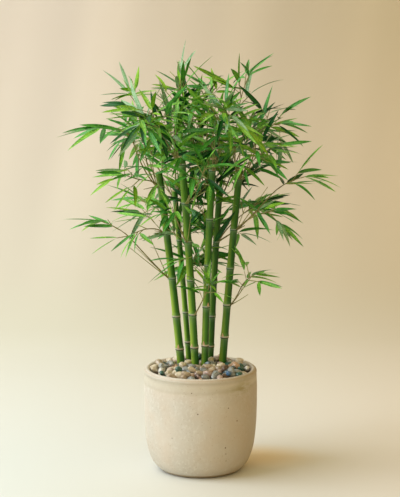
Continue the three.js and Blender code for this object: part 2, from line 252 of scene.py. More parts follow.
def limbTree():
    # a round tube along every edge chain, as thick as the points say
    tree, given = geometryTree("limbs", (("Sides", "Int"), ("Thickness", "Float")))
    curve = node(tree, "GeometryNodeMeshToCurve", {"Mesh": given["Geometry"]}).outputs[0]
    ring = node(tree, "GeometryNodeCurvePrimitiveCircle", {"Resolution": given["Sides"], "Radius": 1.0},
                mode="RADIUS").outputs[0]
    thick = maths(tree, "MULTIPLY", named(tree, "thick", "FLOAT"), given["Thickness"])
    tube = node(tree, "GeometryNodeCurveToMesh",
                {"Curve": curve, "Profile Curve": ring, "Scale": thick, "Fill Caps": True}).outputs[0]
    smooth = node(tree, "GeometryNodeSetShadeSmooth", {"Geometry": tube}).outputs[0]
    return finishTree(tree, given, smooth)


def scatterTree():
    # one of several shapes on each point, turned and sized by what the point holds
    tree, given = geometryTree("scatter", (("Shapes", "Collection"), ("Size", "Float")))
    shapes = node(tree, "GeometryNodeCollectionInfo",
                  {"Collection": given["Shapes"], "Separate Children": True, "Reset Children": True})
    turn = node(tree, "FunctionNodeAxesToRotation",
                [named(tree, "ahead", "FLOAT_VECTOR"), named(tree, "facing", "FLOAT_VECTOR")],
                primary_axis="Y", secondary_axis="Z")
    place = node(tree, "GeometryNodeInstanceOnPoints", {
        "Points": given["Geometry"],
        "Instance": shapes.outputs[0],
        "Pick Instance": True,
        "Instance Index": named(tree, "kind", "INT"),
        "Rotation": turn.outputs[0],
        "Scale": scaled(tree, named(tree, "size", "FLOAT_VECTOR"), given["Size"]),
    })
    return finishTree(tree, given, place.outputs[0])


limbs = limbTree()
scatter = scatterTree()


def settle(name, source, tree, values):
    # runs the tree on the source and keeps the result as a plain mesh
    carrier = addObject(name + "Source", source)
    modifier = carrier.modifiers.new("grow", "NODES")
    modifier.node_group = tree
    for item in tree.interface.items_tree:
        if item.in_out == "INPUT" and item.name in values:
            modifier[item.identifier] = values[item.name]
    carrier.update_tag()
    graph = bpy.context.evaluated_depsgraph_get()
    mesh = bpy.data.meshes.new_from_object(carrier.evaluated_get(graph))
    carrier.modifiers.clear()
    bpy.data.objects.remove(carrier)
    mesh.name = name
    return addObject(name, mesh)


def pointMesh(name, spots):
    # spots: place in millimetres, ahead, facing, size in metres, kind
    mesh = bpy.data.meshes.new(name)
    mesh.from_pydata([tuple(s[0] * mm) for s in spots], [], [])
    for column, key in enumerate(("ahead", "facing", "size"), 1):
        layer = mesh.attributes.new(key, "FLOAT_VECTOR", "POINT")
        layer.data.foreach_set("vector", np.array([s[column] for s in spots], dtype=float).ravel())
    layer = mesh.attributes.new("kind", "INT", "POINT")
    layer.data.foreach_set("value", [s[4] for s in spots])
    return mesh


def chainMesh(name, chains):
    # chains: lists of (place, thickness) in millimetres, each one joined end to end
    places, edges, thick = [], [], []
    for chain in chains:
        for i, (place, radius) in enumerate(chain):
            if i:
                edges.append((len(places) - 1, len(places)))
            places.append(tuple(place * mm))
            thick.append(radius * mm)
    mesh = bpy.data.meshes.new(name)
    mesh.from_pydata(places, edges, [])
    layer = mesh.attributes.new("thick", "FLOAT", "POINT")
    layer.data.foreach_set("value", thick)
    return mesh


def clearShapes(shapes):
    for shape in list(shapes.objects):
        bpy.data.objects.remove(shape)
    bpy.data.collections.remove(shapes)


view = {
    "distance": 5.0,  # metres in front of the pot
    "height": 1.44,
    "downward": 9.58,  # degrees below level
    "lens": 139.4,
    "sensor": 36,
    "shift": -0.001,
    "farthest": 60,
}


def addCamera():
    camera = bpy.data.objects.new("camera", bpy.data.cameras.new("camera"))
    camera.data.sensor_fit = "VERTICAL"
    camera.data.sensor_height = view["sensor"]
    camera.data.lens = view["lens"]
    camera.data.shift_x = view["shift"]
    camera.data.clip_end = view["farthest"]
    camera.location = (0, -view["distance"], view["height"])
    camera.rotation_euler = (math.radians(90 - view["downward"]), 0, 0)
    scene.collection.objects.link(camera)
    scene.camera = camera


backdrop = {
    "halfWidth": 9.0,
    "front": -7.5,
    "back": 2.3,
    "curve": 1.1,
    "curveSteps": 24,
    "rise": 6.5,
    "columns": 30,
    "below": 0.0005,  # the paper lies this far under the pot
    # painted window light and shade: tones from the front of the floor, 0, up to above the plant, 1: by the
    # window, then away from it
    "near": ((0.0, "D5DDDA"), (0.09, "D8DCD6"), (0.17, "CBCDBF"), (0.3, "CBC9BD"), (0.6, "CAC4B8"),
             (1.0, "CFC6BB")),
    "far": ((0.0, "E3DACE"), (0.06, "E8E1D6"), (0.15, "C6BEAA"), (0.3, "C0B397"), (0.6, "C6B79C"),
            (1.0, "BFB18F")),
    "along": (0.75, 0.075, 0.015),  # what a metre up and a metre back add to that, and where it starts
    "across": (-0.5, 1.0),
    # painted light and shade of soft folds; the paper's shape itself is smooth
    "foldShade": 0.08,  # soft upright folds, lighter and darker by this share
    "foldScale": 2.6,
    "foldEdges": (0.35, 0.65),
    "foldLean": -0.18,
    "foldsFrom": (0.05, 0.5),  # heights between which the folds come in
    # painted warm bounce light from the pot, tinting its shadow on the floor: tone, place, reach sideways,
    # back and up, where it is full and gone
    "glow": ("DFCEAC", (0.14, 0.11), (0.165, 0.12, 0.5), (0.2, 1.3)),
}


def toneRamp(tree, marks, amount):
    ramp = node(tree, "ShaderNodeValToRGB", [amount])
    ramp.color_ramp.interpolation = "B_SPLINE"
    stops = ramp.color_ramp.elements
    while len(stops) < len(marks):
        stops.new(0.5)
    for stop, (at, _) in zip(stops, marks):
        stop.position = at
    for stop, (_, tone) in zip(stops, marks):
        stop.color = colour(tone)
    return ramp.outputs["Color"]


def paperMaterial():
    material, tree, shader = newMaterial("studioPaper", {"Roughness": 0.9, "Specular IOR Level": 0.1})
    place = objectPlace(tree)
    x, y, z = apart(tree, place)
    perUp, perBack, start = backdrop["along"]
    # painted light and shade: the paper's tone follows height, depth and the side away from the window
    along = maths(tree, "MULTIPLY_ADD", z, perUp, maths(tree, "MULTIPLY_ADD", y, perBack, start))
    sides = [toneRamp(tree, backdrop[side], along) for side in ("near", "far")]
    tone = mixed(tree, ranged(tree, x, *backdrop["across"]), *sides)
    # painted warm bounce light in the pot's shadow
    glowTone, (glowX, glowY), (wide, deep, tall), edges = backdrop["glow"]
    off = vectors(tree, "SUBTRACT", place, (glowX, glowY, 0.0))
    off = vectors(tree, "MULTIPLY", off, (1 / wide, 1 / deep, 1 / tall))
    glow = ranged(tree, vectors(tree, "LENGTH", off), *edges, 1.0, 0.0, interpolation_type="SMOOTHSTEP")
    tone = mixed(tree, glow, tone, colour(glowTone))
    # painted light and shade of upright folds, coming in above the floor
    sway = maths(tree, "MULTIPLY_ADD", z, backdrop["foldLean"], x)
    strip = node(tree, "ShaderNodeCombineXYZ", {"X": sway}).outputs[0]
    wave = noisy(tree, strip, backdrop["foldScale"], 1.0, noise_dimensions="2D")
    fold = ranged(tree, wave, *backdrop["foldEdges"], 1 - backdrop["foldShade"], 1 + backdrop["foldShade"])
    only = ranged(tree, z, *backdrop["foldsFrom"])
    level = node(tree, "ShaderNodeMix", {0: only, "A": 1.0, "B": fold}, data_type="FLOAT").outputs[0]
    tree.links.new(scaled(tree, tone, level), shader.inputs["Base Color"])
    # the paper can be looked through from behind
    turned = node(tree, "ShaderNodeNewGeometry").outputs["Backfacing"]
    tree.links.new(maths(tree, "SUBTRACT", 1.0, turned), shader.inputs["Alpha"])
    return material


def buildBackdrop():
    back, curve, steps = backdrop["back"], backdrop["curve"], backdrop["curveSteps"]
    profile = [(backdrop["front"], 0.0)]
    for i in range(steps + 1):
        turn = 0.5 * math.pi * i / steps
        profile.append((back - curve + curve * math.sin(turn), curve - curve * math.cos(turn)))
    profile.append((back, backdrop["rise"]))
    vertices, faces = [], []
    for j in range(backdrop["columns"] + 1):
        x = lerp(-backdrop["halfWidth"], backdrop["halfWidth"], j / backdrop["columns"])
        vertices += [(x, y, z - backdrop["below"]) for y, z in profile]
    n = len(profile)
    for j in range(backdrop["columns"]):
        for a in range(j * n, j * n + n - 1):
            faces.append((a, a + n, a + n + 1, a + 1))
    addObject("studioBackdrop", meshFrom("studioBackdrop", vertices, faces), [paperMaterial()])


lights = {
    # place, target, size, power, tint
    "windowLight": ((-3.2, -0.8, 2.4), (0, 0, 0.5), (3.4, 3.0), 136, (0.87, 0.985, 1.13)),
    "frontLight": ((-2.4, -4.4, 2.4), (0, 0, 0.5), (3.0, 2.4), 16, (0.94, 0.985, 1.04)),
    "topLight": ((-1.4, 0.7, 3.3), (0.1, 0, 0), (3.0, 3.0), 40, (1.0, 0.98, 0.96)),
}
room = {"warm": (1.0, 0.77, 0.4, 1), "strength": 0.7, "pale": (0.66, 0.58, 0.45, 1)}


def buildLight():
    for name, (place, target, size, power, tint) in lights.items():
        lamp = bpy.data.lights.new(name, "AREA")
        lamp.shape = "RECTANGLE"
        lamp.size, lamp.size_y = size
        lamp.energy = power
        lamp.color = tint
        piece = bpy.data.objects.new(name, lamp)
        piece.location = place
        piece.rotation_euler = (Vector(target) - Vector(place)).to_track_quat("-Z", "Y").to_euler()
        scene.collection.objects.link(piece)
    # warm room light; past the paper's edge a camera sees the paper's own pale tone
    world = bpy.data.worlds.new("studio")
    scene.world = world
    world.use_nodes = True
    tree = world.node_tree
    warm = tree.nodes["Background"]
    warm.inputs[0].default_value = room["warm"]
    warm.inputs[1].default_value = room["strength"]
    pale = node(tree, "ShaderNodeBackground", [room["pale"]])
    seen = node(tree, "ShaderNodeLightPath").outputs["Is Camera Ray"]
    both = node(tree, "ShaderNodeMixShader", [seen, warm.outputs[0], pale.outputs[0]])
    tree.links.new(both.outputs[0], tree.nodes["World Output"].inputs["Surface"])
    scene.view_settings.view_transform = "Standard"
    scene.view_settings.look = "None"
    scene.view_settings.exposure = 0.0


addCamera()
buildBackdrop()
buildLight()
print("stage: backdrop, camera and lights")

pot = {
    "height": 276,
    "rimRadius": 150,
    "bellyRadius": 150.5,
    "footRadius": 98,
    "wall": 16,
    "floor": 18,
    "segments": 144,
    "clay": ("C5BEB0", "CFC9BC", "D5D1C6"),
    "mottle": (9.0, 150.0, 0.0, (1, 1, 0.7)),  # scale of the patches and of the grain, bump, stretch
    "rosy": ("CDB9A2", 0.42, 0.75, 0.4),  # patches: tone, where the noise begins and ends, strength
    # painted shade: the side away from the window, towards the front right and the foot, darker and warmer:
    # tone, which side, metres to its full strength, strength
    "shadedSide": ("9C8660", (0.95, -0.26, -0.2), 0.12, 0.55),
    # rings round the pot: tone, height, half width, soft edge, strength, waviness, in metres
    "bands": (
        # painted shade under the lip
        ("A59C84", 0.2560, 0.0070, 0.0140, 0.5, 0.008),
        ("DDD6C4", 0.2520, 0.0030, 0.0080, 0.35, 0.016),
        ("B5AB90", 0.2380, 0.0010, 0.0050, 0.3, 0.020),
        ("A9793F", 0.2722, 0.0004, 0.0016, 0.25, 0.003),
        ("8F7344", 0.0035, 0.0022, 0.004, 0.7, 0.003),
    ),
    # mossy stains: tone, place, reach sideways, reach upwards, strength
    "stains": (
        ("9A8E62", (0.104, -0.104, 0.2420), 0.06, 0.017, 0.9),
        ("A39771", (0.112, -0.096, 0.2580), 0.04, 0.030, 0.6),
    ),
    # flecks: tone, how many, size where solid, size where gone, share of cells without one
    "flecks": (("A3906F", 190.0, 0.1, 0.24, 0.74), ("5F4128", 44.0, 0.05, 0.09, 0.78)),
    "rough": (0.46, 0.66),
    "spot": ("5F4128", 0.0013, 0.0026, 0.95),  # tone, size where solid, size where gone, strength
    "spots": ((-7, -150, 185), (72, -131, 197), (95, -115, 159), (-75, -129, 115), (65, -130, 90)),
}
soilTop = 246
soilTones, soilMottle = ("1E140C", "38281A", "6A5238"), (60.0, 500.0, 0.9)


def smoothProfile(points, steps):
    # a round curve through the points
    out = []
    last = len(points) - 1
    pts = [np.array(p, dtype=float) for p in points]
    for i in range(last):
        p0, p1, p2, p3 = pts[max(i - 1, 0)], pts[i], pts[i + 1], pts[min(i + 2, last)]
        d1, d2, d3 = (max(np.linalg.norm(b - a), 1e-6) ** 0.5 for a, b in ((p0, p1), (p1, p2), (p2, p3)))
        m1 = (p2 - p1 + d2 * ((p1 - p0) / d1 - (p2 - p0) / (d1 + d2))) if i else p2 - p1
        m2 = (p2 - p1 + d2 * ((p3 - p2) / d3 - (p3 - p1) / (d2 + d3))) if i < last - 1 else p2 - p1
        for k in range(steps):
            t = k / steps
            out.append((2 * t**3 - 3 * t**2 + 1) * p1 + (t**3 - 2 * t**2 + t) * m1
                       + (-2 * t**3 + 3 * t**2) * p2 + (t**3 - t**2) * m2)
    out.append(pts[-1])
    return out


def lathe(name, profile, segments, wobble):
    # turns a profile that starts and ends on the axis
    vertices, faces = [], []
    inner = len(profile) - 2
    for j in range(segments):
        turn = 2 * math.pi * j / segments
        vertices += [around(turn, r + wobble(turn, z), z) * mm for r, z in profile[1:-1]]
    low = len(vertices)
    vertices += [(0, 0, profile[0][1] * mm), (0, 0, profile[-1][1] * mm)]
    for j in range(segments):
        a = j * inner
        b = ((j + 1) % segments) * inner
        faces += [(low, b, a), (low + 1, a + inner - 1, b + inner - 1)]
        faces += [(a + i, b + i, b + i + 1, a + i + 1) for i in range(inner - 1)]
    return meshFrom(name, vertices, faces)


def clayMaterial():
    material, tree, shader = newMaterial("speckledStoneware", {"Specular IOR Level": 0.4})
    place = objectPlace(tree)
    z = apart(tree, place)["Z"]
    drift = noisy(tree, place, 7.0, 2.0)
    patches = noisy(tree, place, 16.0, 3.0)

    def band(height, half, soft, strength, wavy):
        warped = maths(tree, "MULTIPLY_ADD", drift, wavy, z)
        off = maths(tree, "ABSOLUTE", maths(tree, "SUBTRACT", warped, height + wavy * 0.5))
        return ranged(tree, off, half, half + soft, strength, 0.0)

    def stain(middle, wide, tall, strength):
        off = vectors(tree, "SUBTRACT", place, middle)
        off = vectors(tree, "MULTIPLY", off, (1 / wide, 1 / wide, 1 / tall))
        near = ranged(tree, vectors(tree, "LENGTH", off), 0.1, 1.0, strength, 0.0)
        broken = noisy(tree, vectors(tree, "MULTIPLY", place, (1.0, 1.0, 3.4)), 26.0, 3.0)
        return maths(tree, "MULTIPLY", near, ranged(tree, broken, 0.36, 0.56))

    def fleck(scale, solid, gone, bare):
        cells = node(tree, "ShaderNodeTexVoronoi", {"Vector": place, "Scale": scale}).outputs
        near = ranged(tree, cells["Distance"], solid, gone, 0.85, 0.0)
        part = node(tree, "ShaderNodeSeparateColor", [cells["Color"]]).outputs[0]
        return maths(tree, "MULTIPLY", near, maths(tree, "GREATER_THAN", part, bare))

    def spot(x, y, height):
        _, solid, gone, strength = pot["spot"]
        off = vectors(tree, "DISTANCE", place, (x * mm, y * mm, height * mm))
        return ranged(tree, off, solid, gone, strength, 0.0)

    tone = addMottle(tree, shader, map(colour, pot["clay"]), *pot["mottle"])
    rosy, begins, ends, most = pot["rosy"]
    # painted shade on the side away from the window
    shadedSide, side, full, strength = pot["shadedSide"]
    towardShade = vectors(tree, "DOT_PRODUCT", place, side)
    layers = [(rosy, ranged(tree, patches, begins, ends, 0.0, most)),
              (shadedSide, ranged(tree, towardShade, 0.0, full, 0.0, strength))]
    for rows, make in ((pot["bands"], band), (pot["stains"], stain), (pot["flecks"], fleck)):
        layers += [(row[0], make(*row[1:])) for row in rows]
    layers += [(pot["spot"][0], spot(*row)) for row in pot["spots"]]
    for above, amount in layers:
        tone = mixed(tree, amount, tone, colour(above))
    tree.links.new(tone, shader.inputs["Base Color"])
    pits = noisy(tree, place, 380.0, 2.0)
    rings = node(tree, "ShaderNodeTexNoise", {"W": z, "Scale": 60.0, "Detail": 2.0}, noise_dimensions="1D")
    addBump(tree, shader, maths(tree, "MULTIPLY_ADD", rings.outputs[0], 0.7, pits), 0.22, 0.0012)
    tree.links.new(ranged(tree, patches, 0.0, 1.0, *pot["rough"]), shader.inputs["Roughness"])
    return material


def buildPot():
    rim, belly, foot, top = pot["rimRadius"], pot["bellyRadius"], pot["footRadius"], pot["height"]
    inner, floor = rim - pot["wall"], pot["floor"]
    wall = smoothProfile([
        (foot, 0), (foot + 6, 1.2), (foot + 13, 6), (foot + 22, 14.5), (foot + 31, 27), (foot + 38.5, 45),
        (foot + 45, 71), (rim - 2.4, 110), (belly, 170), (belly, 232), (rim - 0.4, 258), (rim - 0.9, 262.5),
        (rim - 0.2, 267), (rim - 1.6, 272.6), (rim - 5.6, top - 0.6), (rim - 8, top),
        (rim - 11.2, top - 0.9), (inner + 1.2, top - 4.4), (inner + 0.4, top - 10), (inner - 0.2, 240),
        (inner - 1, 150), (inner - 6, 66), (inner - 22, 30), (inner - 44, floor),
    ], 4)
    profile = [(0, 0), (foot * 0.5, 0), *wall, (40, floor), (0, floor)]

    def wobble(turn, z):
        # the potter's hand, flat underneath
        if z < 4:
            return 0
        return 0.5 * noise.noise(Vector(around(turn, 1.3, z * 0.012))) + 0.12 * math.sin(z * 0.55)

    mesh = lathe("potBody", profile, pot["segments"], wobble)
    finishPiece(addObject("potBody", mesh, [clayMaterial()]), "stoneware", "pot")


def soilMaterial():
    material, tree, shader = newMaterial("pottingMix", {"Roughness": 0.95})
    addMottle(tree, shader, map(colour, soilTones), *soilMottle)
    return material


buildPot()
soilMesh = frame["nodes"]["soil"].data
soilMesh.materials.clear()
soilMesh.materials.append(soilMaterial())
print("pot: wall, lip and soil")

caneLook = {
    "sides": 40,
    "step": 12,  # between the rings of a plain stretch
    "plain": 0.985,  # how wide a plain stretch is against a joint
    "cutWall": 3.2,
    "cutDepth": 13,
    "cutBand": 3.5,  # how far below the top the skin is cut back
    "skin": ("2C680E", "3E7C12", "568F18"),
    "mottle": (15.0, 90.0, 0.1, (1, 1, 0.1)),
    "smallMottle": (120.0, 700.0, 0.4),  # on the rings and the cut tops
    # painted light on the side towards the window and painted shade on the side away from it
    "sunny": "A6BF3A",  # the side towards the window
    "shady": "0F3A0C",  # the side away from it
    "tints": (0.0, 0.0, -0.1, 0.12, 0.32, 0.1),  # how much darker each cane is than the first
    "shade": "17502A",  # under each joint
    "bloom": "93AE84",
    "ring": "C2B9A0",
    "line": "3A3520",
    "worn": "82957A",  # what the rings of the upper joints fade to
    "cut": "C8B384",
    "scale": "C9A77A",
    "scales": ((0,), (), (0,), (0, 1), (), (0,)),  # joints of each cane that keep a dry bud scale
    "shadeUnder": (0.62, 42),  # shade under a joint: strength, and how fast it fades downwards
    "shadeAtFoot": (0.45, 40),
    "uneven": 0.008,
    "window": 2.75,  # turn of the window round a cane, clockwise
    "crown": (540, 140),  # where the crown's shade begins, and over what height it deepens
}
# a cane's materials, in order
skinSlot, ringSlot, lineSlot, cutSlot, scaleSlot = range(5)
canes = [
    # foot, top, bow, width at foot and top, joints
    ((-49, 33), (-110, 20, 797), 3, (21.5, 18.6), (320, 409, 513, 634, 758)),
    ((-29, 80), (-70, 110, 737), 2, (15.5, 14.2), (327, 407, 506, 602, 710)),
    ((-12.5, 16), (-50, -10, 842), 3, (20.5, 18.8), (328, 418, 511, 615, 718, 821)),
    ((10.5, 16), (33, 0, 836), -3, (18.8, 18), (333, 439, 551, 674, 804)),
    ((25, 58), (51.5, 90, 745), -2, (17.8, 16.6), (320, 401, 495, 601, 713)),
    ((57, 41.5), (104, 50, 801), -2, (21, 18.2), (350, 437, 536, 640, 775)),
]
jointSwell = 1.11
jointShape = [
    # height from the joint, width, bloom, material
    (-12, 1.0, 0.1, skinSlot), (-8, 1.02, 0.2, skinSlot), (-5.4, 1.045, 0.3, skinSlot),
    (-3.8, 1.1, 0.2, lineSlot), (-2.4, 1.13, 0, lineSlot), (-1.5, 1.1, 0, ringSlot),
    (0.2, 1.09, 0, ringSlot), (1.4, 1.12, 0.4, ringSlot), (2.4, 1.14, 0.3, skinSlot),
    (3.8, 1.125, 0.2, skinSlot), (5.6, 1.07, 0.1, skinSlot), (8.5, 1.02, 0.1, skinSlot),
    (13, 1.0, 0, skinSlot), (20, 0.985, 0, skinSlot),
]


def canePoint(cane, z):
    foot, top, bow = cane[:3]
    t = (z - soilTop) / (top[2] - soilTop)
    return np.array([lerp(foot[0], top[0], t) + bow * 4 * t * (1 - t), lerp(foot[1], top[1], t), z])


def caneRadius(cane, z):
    t = (z - soilTop) / (cane[1][2] - soilTop)
    return lerp(cane[3][0], cane[3][1], t) / 2


def tinted(tree, name, below, above):
    # lays a tone over another, as strongly as the mesh's attribute says
    amount = node(tree, "ShaderNodeAttribute", attribute_name=name).outputs["Fac"]
    return mixed(tree, amount, below, colour(caneLook[above]))


def caneMaterials():
    material, tree, shader = newMaterial("caneSkin", {"Roughness": 0.42, "Specular IOR Level": 0.28,
                                                      "Coat Weight": 0.03, "Coat Roughness": 0.3})
    tone = addMottle(tree, shader, map(colour, caneLook["skin"]), *caneLook["mottle"])
    # painted window light and shade first, then the shade under the joints and the bloom
    for name in ("sunny", "shady", "shade", "bloom"):
        tone = tinted(tree, name, tone, name)
    tree.links.new(tone, shader.inputs["Base Color"])
    made = [material]
    for name, rough, worn in (("ring", 0.6, "worn"), ("line", 0.7, "shade"), ("cut", 0.75, ""),
                              ("scale", 0.7, "")):
        material, tree, shader = newMaterial("cane" + name.capitalize(), {"Roughness": rough})
        base = np.array(colour(caneLook[name]))
        tones = [np.minimum(1, base * (share, share, share, 1)) for share in (0.72, 1, 1.2)]
        tone = addMottle(tree, shader, tones, *caneLook["smallMottle"])
        if worn:
            tree.links.new(tinted(tree, "worn", tone, worn), shader.inputs["Base Color"])
        made.append(material)
    return made


def addScale(vertices, faces, slots, place, radius, turn, height, width):
    # a dry bud scale standing on a joint: a small pointed triangle that follows the round
    low = len(vertices)
    rows = ((0, 1.0), (0.35, 0.8), (0.7, 0.42), (1.0, 0.04))
    for t, share in rows:
        for k in (-1, 0, 1):
            out = radius * (1.13 + 0.05 * (1 - abs(k))) + 1.4 * t * (1 - t)
            vertices.append((place + around(turn + k * share * width / radius / 2, out, t * height)) * mm)
    for i in range(len(rows) - 1):
        for a in (low + 3 * i, low + 3 * i + 1):
            faces.append((a, a + 1, a + 4, a + 3))
            slots.append(scaleSlot)


def caneStations(cane):
    # the rings of a cane from the soil up: height, width, bloom, material
    joints, top, plain = cane[4], cane[1][2], caneLook["plain"]
    foot = soilTop + 0.4
    stations = [(foot, 1.0, 0, skinSlot)]
    for n, z in enumerate((*joints, top)):
        low = joints[n - 1] + 28 if n else foot + 4
        stations += [(at, plain, 0, skinSlot)
                     for at in np.arange(low, z - (6 if z == top else 16), caneLook["step"])]
    for n, z in enumerate(joints):
        tall = 0.95 if n < 2 else 0.75
        stations += [(z + dz * tall, *rest) for dz, *rest in jointShape if z + dz < top - 1]
    stations += [(top - caneLook["cutBand"], plain, 0, cutSlot), (top, plain, 0, cutSlot)]
    return sorted(stations, key=lambda station: station[0])


def caneTones(cane, z, turn, pale, tint, random):
    # how strongly each tint shows at one place on the skin, painted window light and shade among them
    above = [j - z for j in cane[4] if j >= z]
    (under, fade), (foot, footFade) = caneLook["shadeUnder"], caneLook["shadeAtFoot"]
    shade = under * math.exp(-min(above) / fade) if above else 0.25
    crownFrom, crownDepth = caneLook["crown"]
    underCrown = 1 - 0.5 * min(1.0, max(0.0, (z - crownFrom) / crownDepth))
    # painted light towards the window, less under the crown; painted shade away from it, which also holds
    # each cane's own darker tint
    lit = math.cos(turn + caneLook["window"])
    return {
        "bloom": max(0.0, min(1.0, pale * drawn(random, 0.6, 0.8))),
        "shade": max(shade, foot * math.exp(-(z - soilTop) / footFade)),
        "sunny": max(0.0, 1.05 * (lit - 0.3) - 0.5 * tint) * underCrown,
        "shady": min(1.0, max(0.0, 0.7 * (0.25 - lit)) + max(tint, 0)),
    }


def buildCane(index, cane, materials):
    joints, top = cane[4], cane[1][2]
    random = seeded(900 + index)
    stations = caneStations(cane)
    sides = caneLook["sides"]
    turns = [2 * math.pi * k / sides for k in range(sides)]
    vertices, faces, slots, tones = [], [], [], []
    fade = [min(0.95, 0.1 + 0.45 * n * drawn(random, 0.6, 0.8)) for n in range(len(joints))]
    phase = random() * 40
    for z, share, pale, _ in stations:
        worn = fade[min(range(len(joints)), key=lambda n: abs(joints[n] - z))]
        for turn in turns:
            uneven = 1 + caneLook["uneven"] * noise.noise(Vector(around(turn, 1.0, z * 0.02 + phase)))
            vertices.append((canePoint(cane, z) + around(turn, caneRadius(cane, z) * share * uneven)) * mm)
            tones.append({"worn": worn, **caneTones(cane, z, turn, pale, caneLook["tints"][index], random)})

    def joinRings(low, high, slot):
        for k in range(sides):
            after = (k + 1) % sides
            faces.append((low + k, low + after, high + after, high + k))
            slots.append(slot)

    for i, station in enumerate(stations[:-1]):
        joinRings(i * sides, (i + 1) * sides, station[3])
    # level cut top: a rim, a shallow hollow and its floor
    wall = caneRadius(cane, top) - caneLook["cutWall"]
    start = (len(stations) - 1) * sides
    for radius, drop in ((wall + 0.5, 0), (wall, 0.7), (wall - 0.3, caneLook["cutDepth"])):
        here = len(vertices)
        vertices += [(canePoint(cane, top) + around(turn, radius, -drop)) * mm for turn in turns]
        joinRings(start, here, cutSlot)
        start = here
    faces += [[start + k for k in range(sides)], list(reversed(range(sides)))]
    slots += [cutSlot, skinSlot]
    for n in caneLook["scales"][index]:
        turn = -0.5 * halfTurn + (0.5 if n % 2 else -0.5) + 0.6 * (random() - 0.5)
        addScale(vertices, faces, slots, canePoint(cane, joints[n] + 2), caneRadius(cane, joints[n]), turn,
                 9.5 + 3 * random(), 6.0)
    name = "cane%d" % (index + 1)
    mesh = meshFrom(name, vertices, faces, slots)
    for key in tones[0]:
        layer = mesh.attributes.new(key, "FLOAT", "POINT")
        layer.data.foreach_set("value", [tone[key] for tone in tones] + [0.0] * (len(vertices) - len(tones)))
    finishPiece(addObject(name, mesh, materials), "cane", "cane_%d" % (index + 1))


caneMaterialList = caneMaterials()
for caneIndex, caneRow in enumerate(canes):
    buildCane(caneIndex, caneRow, caneMaterialList)
print("canes: %d" % len(canes))

pebbleLook = {
    # count, height of the centres at the wall and in the middle, half lengths
    "layers": ((90, 262, 268, 10, 13.5), (92, 271, 277, 10.5, 15.5), (24, 278, 287, 10, 14)),
    "radius": 134.6,
    "spiral": 122,  # the stones start on a spiral that reaches this far out
    "rounds": 160,
    "shapes": 6,
    "height": (0.56, 0.16),  # least and what may be added, against length
    "width": (0.6, 0.22),
    "lumps": 0.24,
    "seed": 5,
    "shapeSeed": 77,
    "round": 0.84,  # below 1 a stone is fuller than an egg
    "closeness": 0.86,  # stones may lie this near, against the sum of their half lengths
    "ease": 0.2,  # share of an overlap that one round takes away
    "mottle": (80.0, 520.0, 0.25),
    "tones": {  # dark, middle, light, share
        "cream": ("B4A484", "D6CAB0", "F0E8D6", 22),
        "beige": ("897660", "B2A187", "D8C8AE", 16),
        "rose": ("957A6C", "BCA392", "DECABC", 13),
        "grey": ("6C7170", "9A9E98", "C4C8C2", 20),
        "slate": ("3A4A4E", "5C6C6E", "93A6A8", 11),
        "white": ("B6B6AC", "DFDED6", "F4F3EC", 9),
        "peach": ("A07C5C", "C6A281", "E2C8AC", 8),
        "brown": ("46352A", "6A5340", "8E7660", 4),
        "teal": ("183F37", "2C5F52", "5A8C7C", 3),
        "blue": ("14406C", "2B5F8C", "86A8C0", 0),
    },
    # the stone nearest each of these places takes that tone
    "named": {"blue": ((60, -94),), "teal": ((-93, -60), (112, 10), (78, 30))},
}
golden = math.pi * (3 - math.sqrt(5))


def pebbleShapes():
    shapes = bpy.data.collections.new("pebbleShapes")
    random = seeded(pebbleLook["shapeSeed"])
    for n in range(pebbleLook["shapes"]):
        ball = bmesh.new()
        bmesh.ops.create_icosphere(ball, subdivisions=3, radius=1.0)
        squash = drawn(random, *pebbleLook["height"])
        wide = drawn(random, *pebbleLook["width"])
        for vertex in ball.verts:
            lump = 1 + pebbleLook["lumps"] * noise.noise(vertex.co * 1.1 + Vector((n * 7.3, 0, 0)))
            x, y, z = (math.copysign(abs(c) ** pebbleLook["round"], c) * lump for c in vertex.co)
            vertex.co = (x * wide, y, z * squash)
        mesh = bpy.data.meshes.new("pebbleShape%d" % n)
        ball.to_mesh(mesh)
        ball.free()
        mesh.polygons.foreach_set("use_smooth", [True] * len(mesh.polygons))
        shapes.objects.link(bpy.data.objects.new("pebbleShape%d" % n, mesh))
    return shapes


def spreadPebbles():
    # relaxes discs in each layer until they lie side by side, clear of the canes
    random = seeded(pebbleLook["seed"])
    spots = []
    for count, edgeTop, crownTop, small, large in pebbleLook["layers"]:
        size = np.array([lerp(small, large, random() ** 1.3) for _ in range(count)])
        out = [pebbleLook["spiral"] * math.sqrt((i + 0.5) / count) for i in range(count)]
        place = np.array([around(i * golden + 0.5 * random(), out[i])[:2] for i in range(count)])
        for _ in range(pebbleLook["rounds"]):
            gapTo = place[:, None, :] - place[None, :, :]
            far = np.linalg.norm(gapTo, axis=2) + 1e-6
            push = np.clip(pebbleLook["closeness"] * (size[:, None] + size[None, :]) - far, 0, None)
            np.fill_diagonal(push, 0)
            place += pebbleLook["ease"] * np.sum(gapTo / far[..., None] * push[..., None], axis=1)
            for cane in canes:
                off = place - canePoint(cane, crownTop)[:2]
                dist = np.linalg.norm(off, axis=1) + 1e-6
                near = caneRadius(cane, crownTop) + 0.8 * size
                place += off / dist[:, None] * np.clip(near - dist, 0, None)[:, None]
            dist = np.linalg.norm(place, axis=1) + 1e-6
            place *= np.minimum(1, (pebbleLook["radius"] - 0.9 * size) / dist)[:, None]
        for at, half in zip(place, size):
            share = (np.linalg.norm(at) / pebbleLook["radius"]) ** 2
            height = lerp(crownTop, edgeTop, share) + 4.0 * (random() - 0.5)
            turn = 2 * math.pi * random()
            ahead = around(turn, 1.0, 0.9 * (random() - 0.5))
            facing = np.array([1.1 * (random() - 0.5), 1.1 * (random() - 0.5), 1])
            scale = half * mm * drawn(random, 0.9, 0.2)
            spots.append((np.array([*at, height]), unit(ahead), unit(facing), (scale, scale, scale),
                          int(pebbleLook["shapes"] * random()), random()))
    return spots


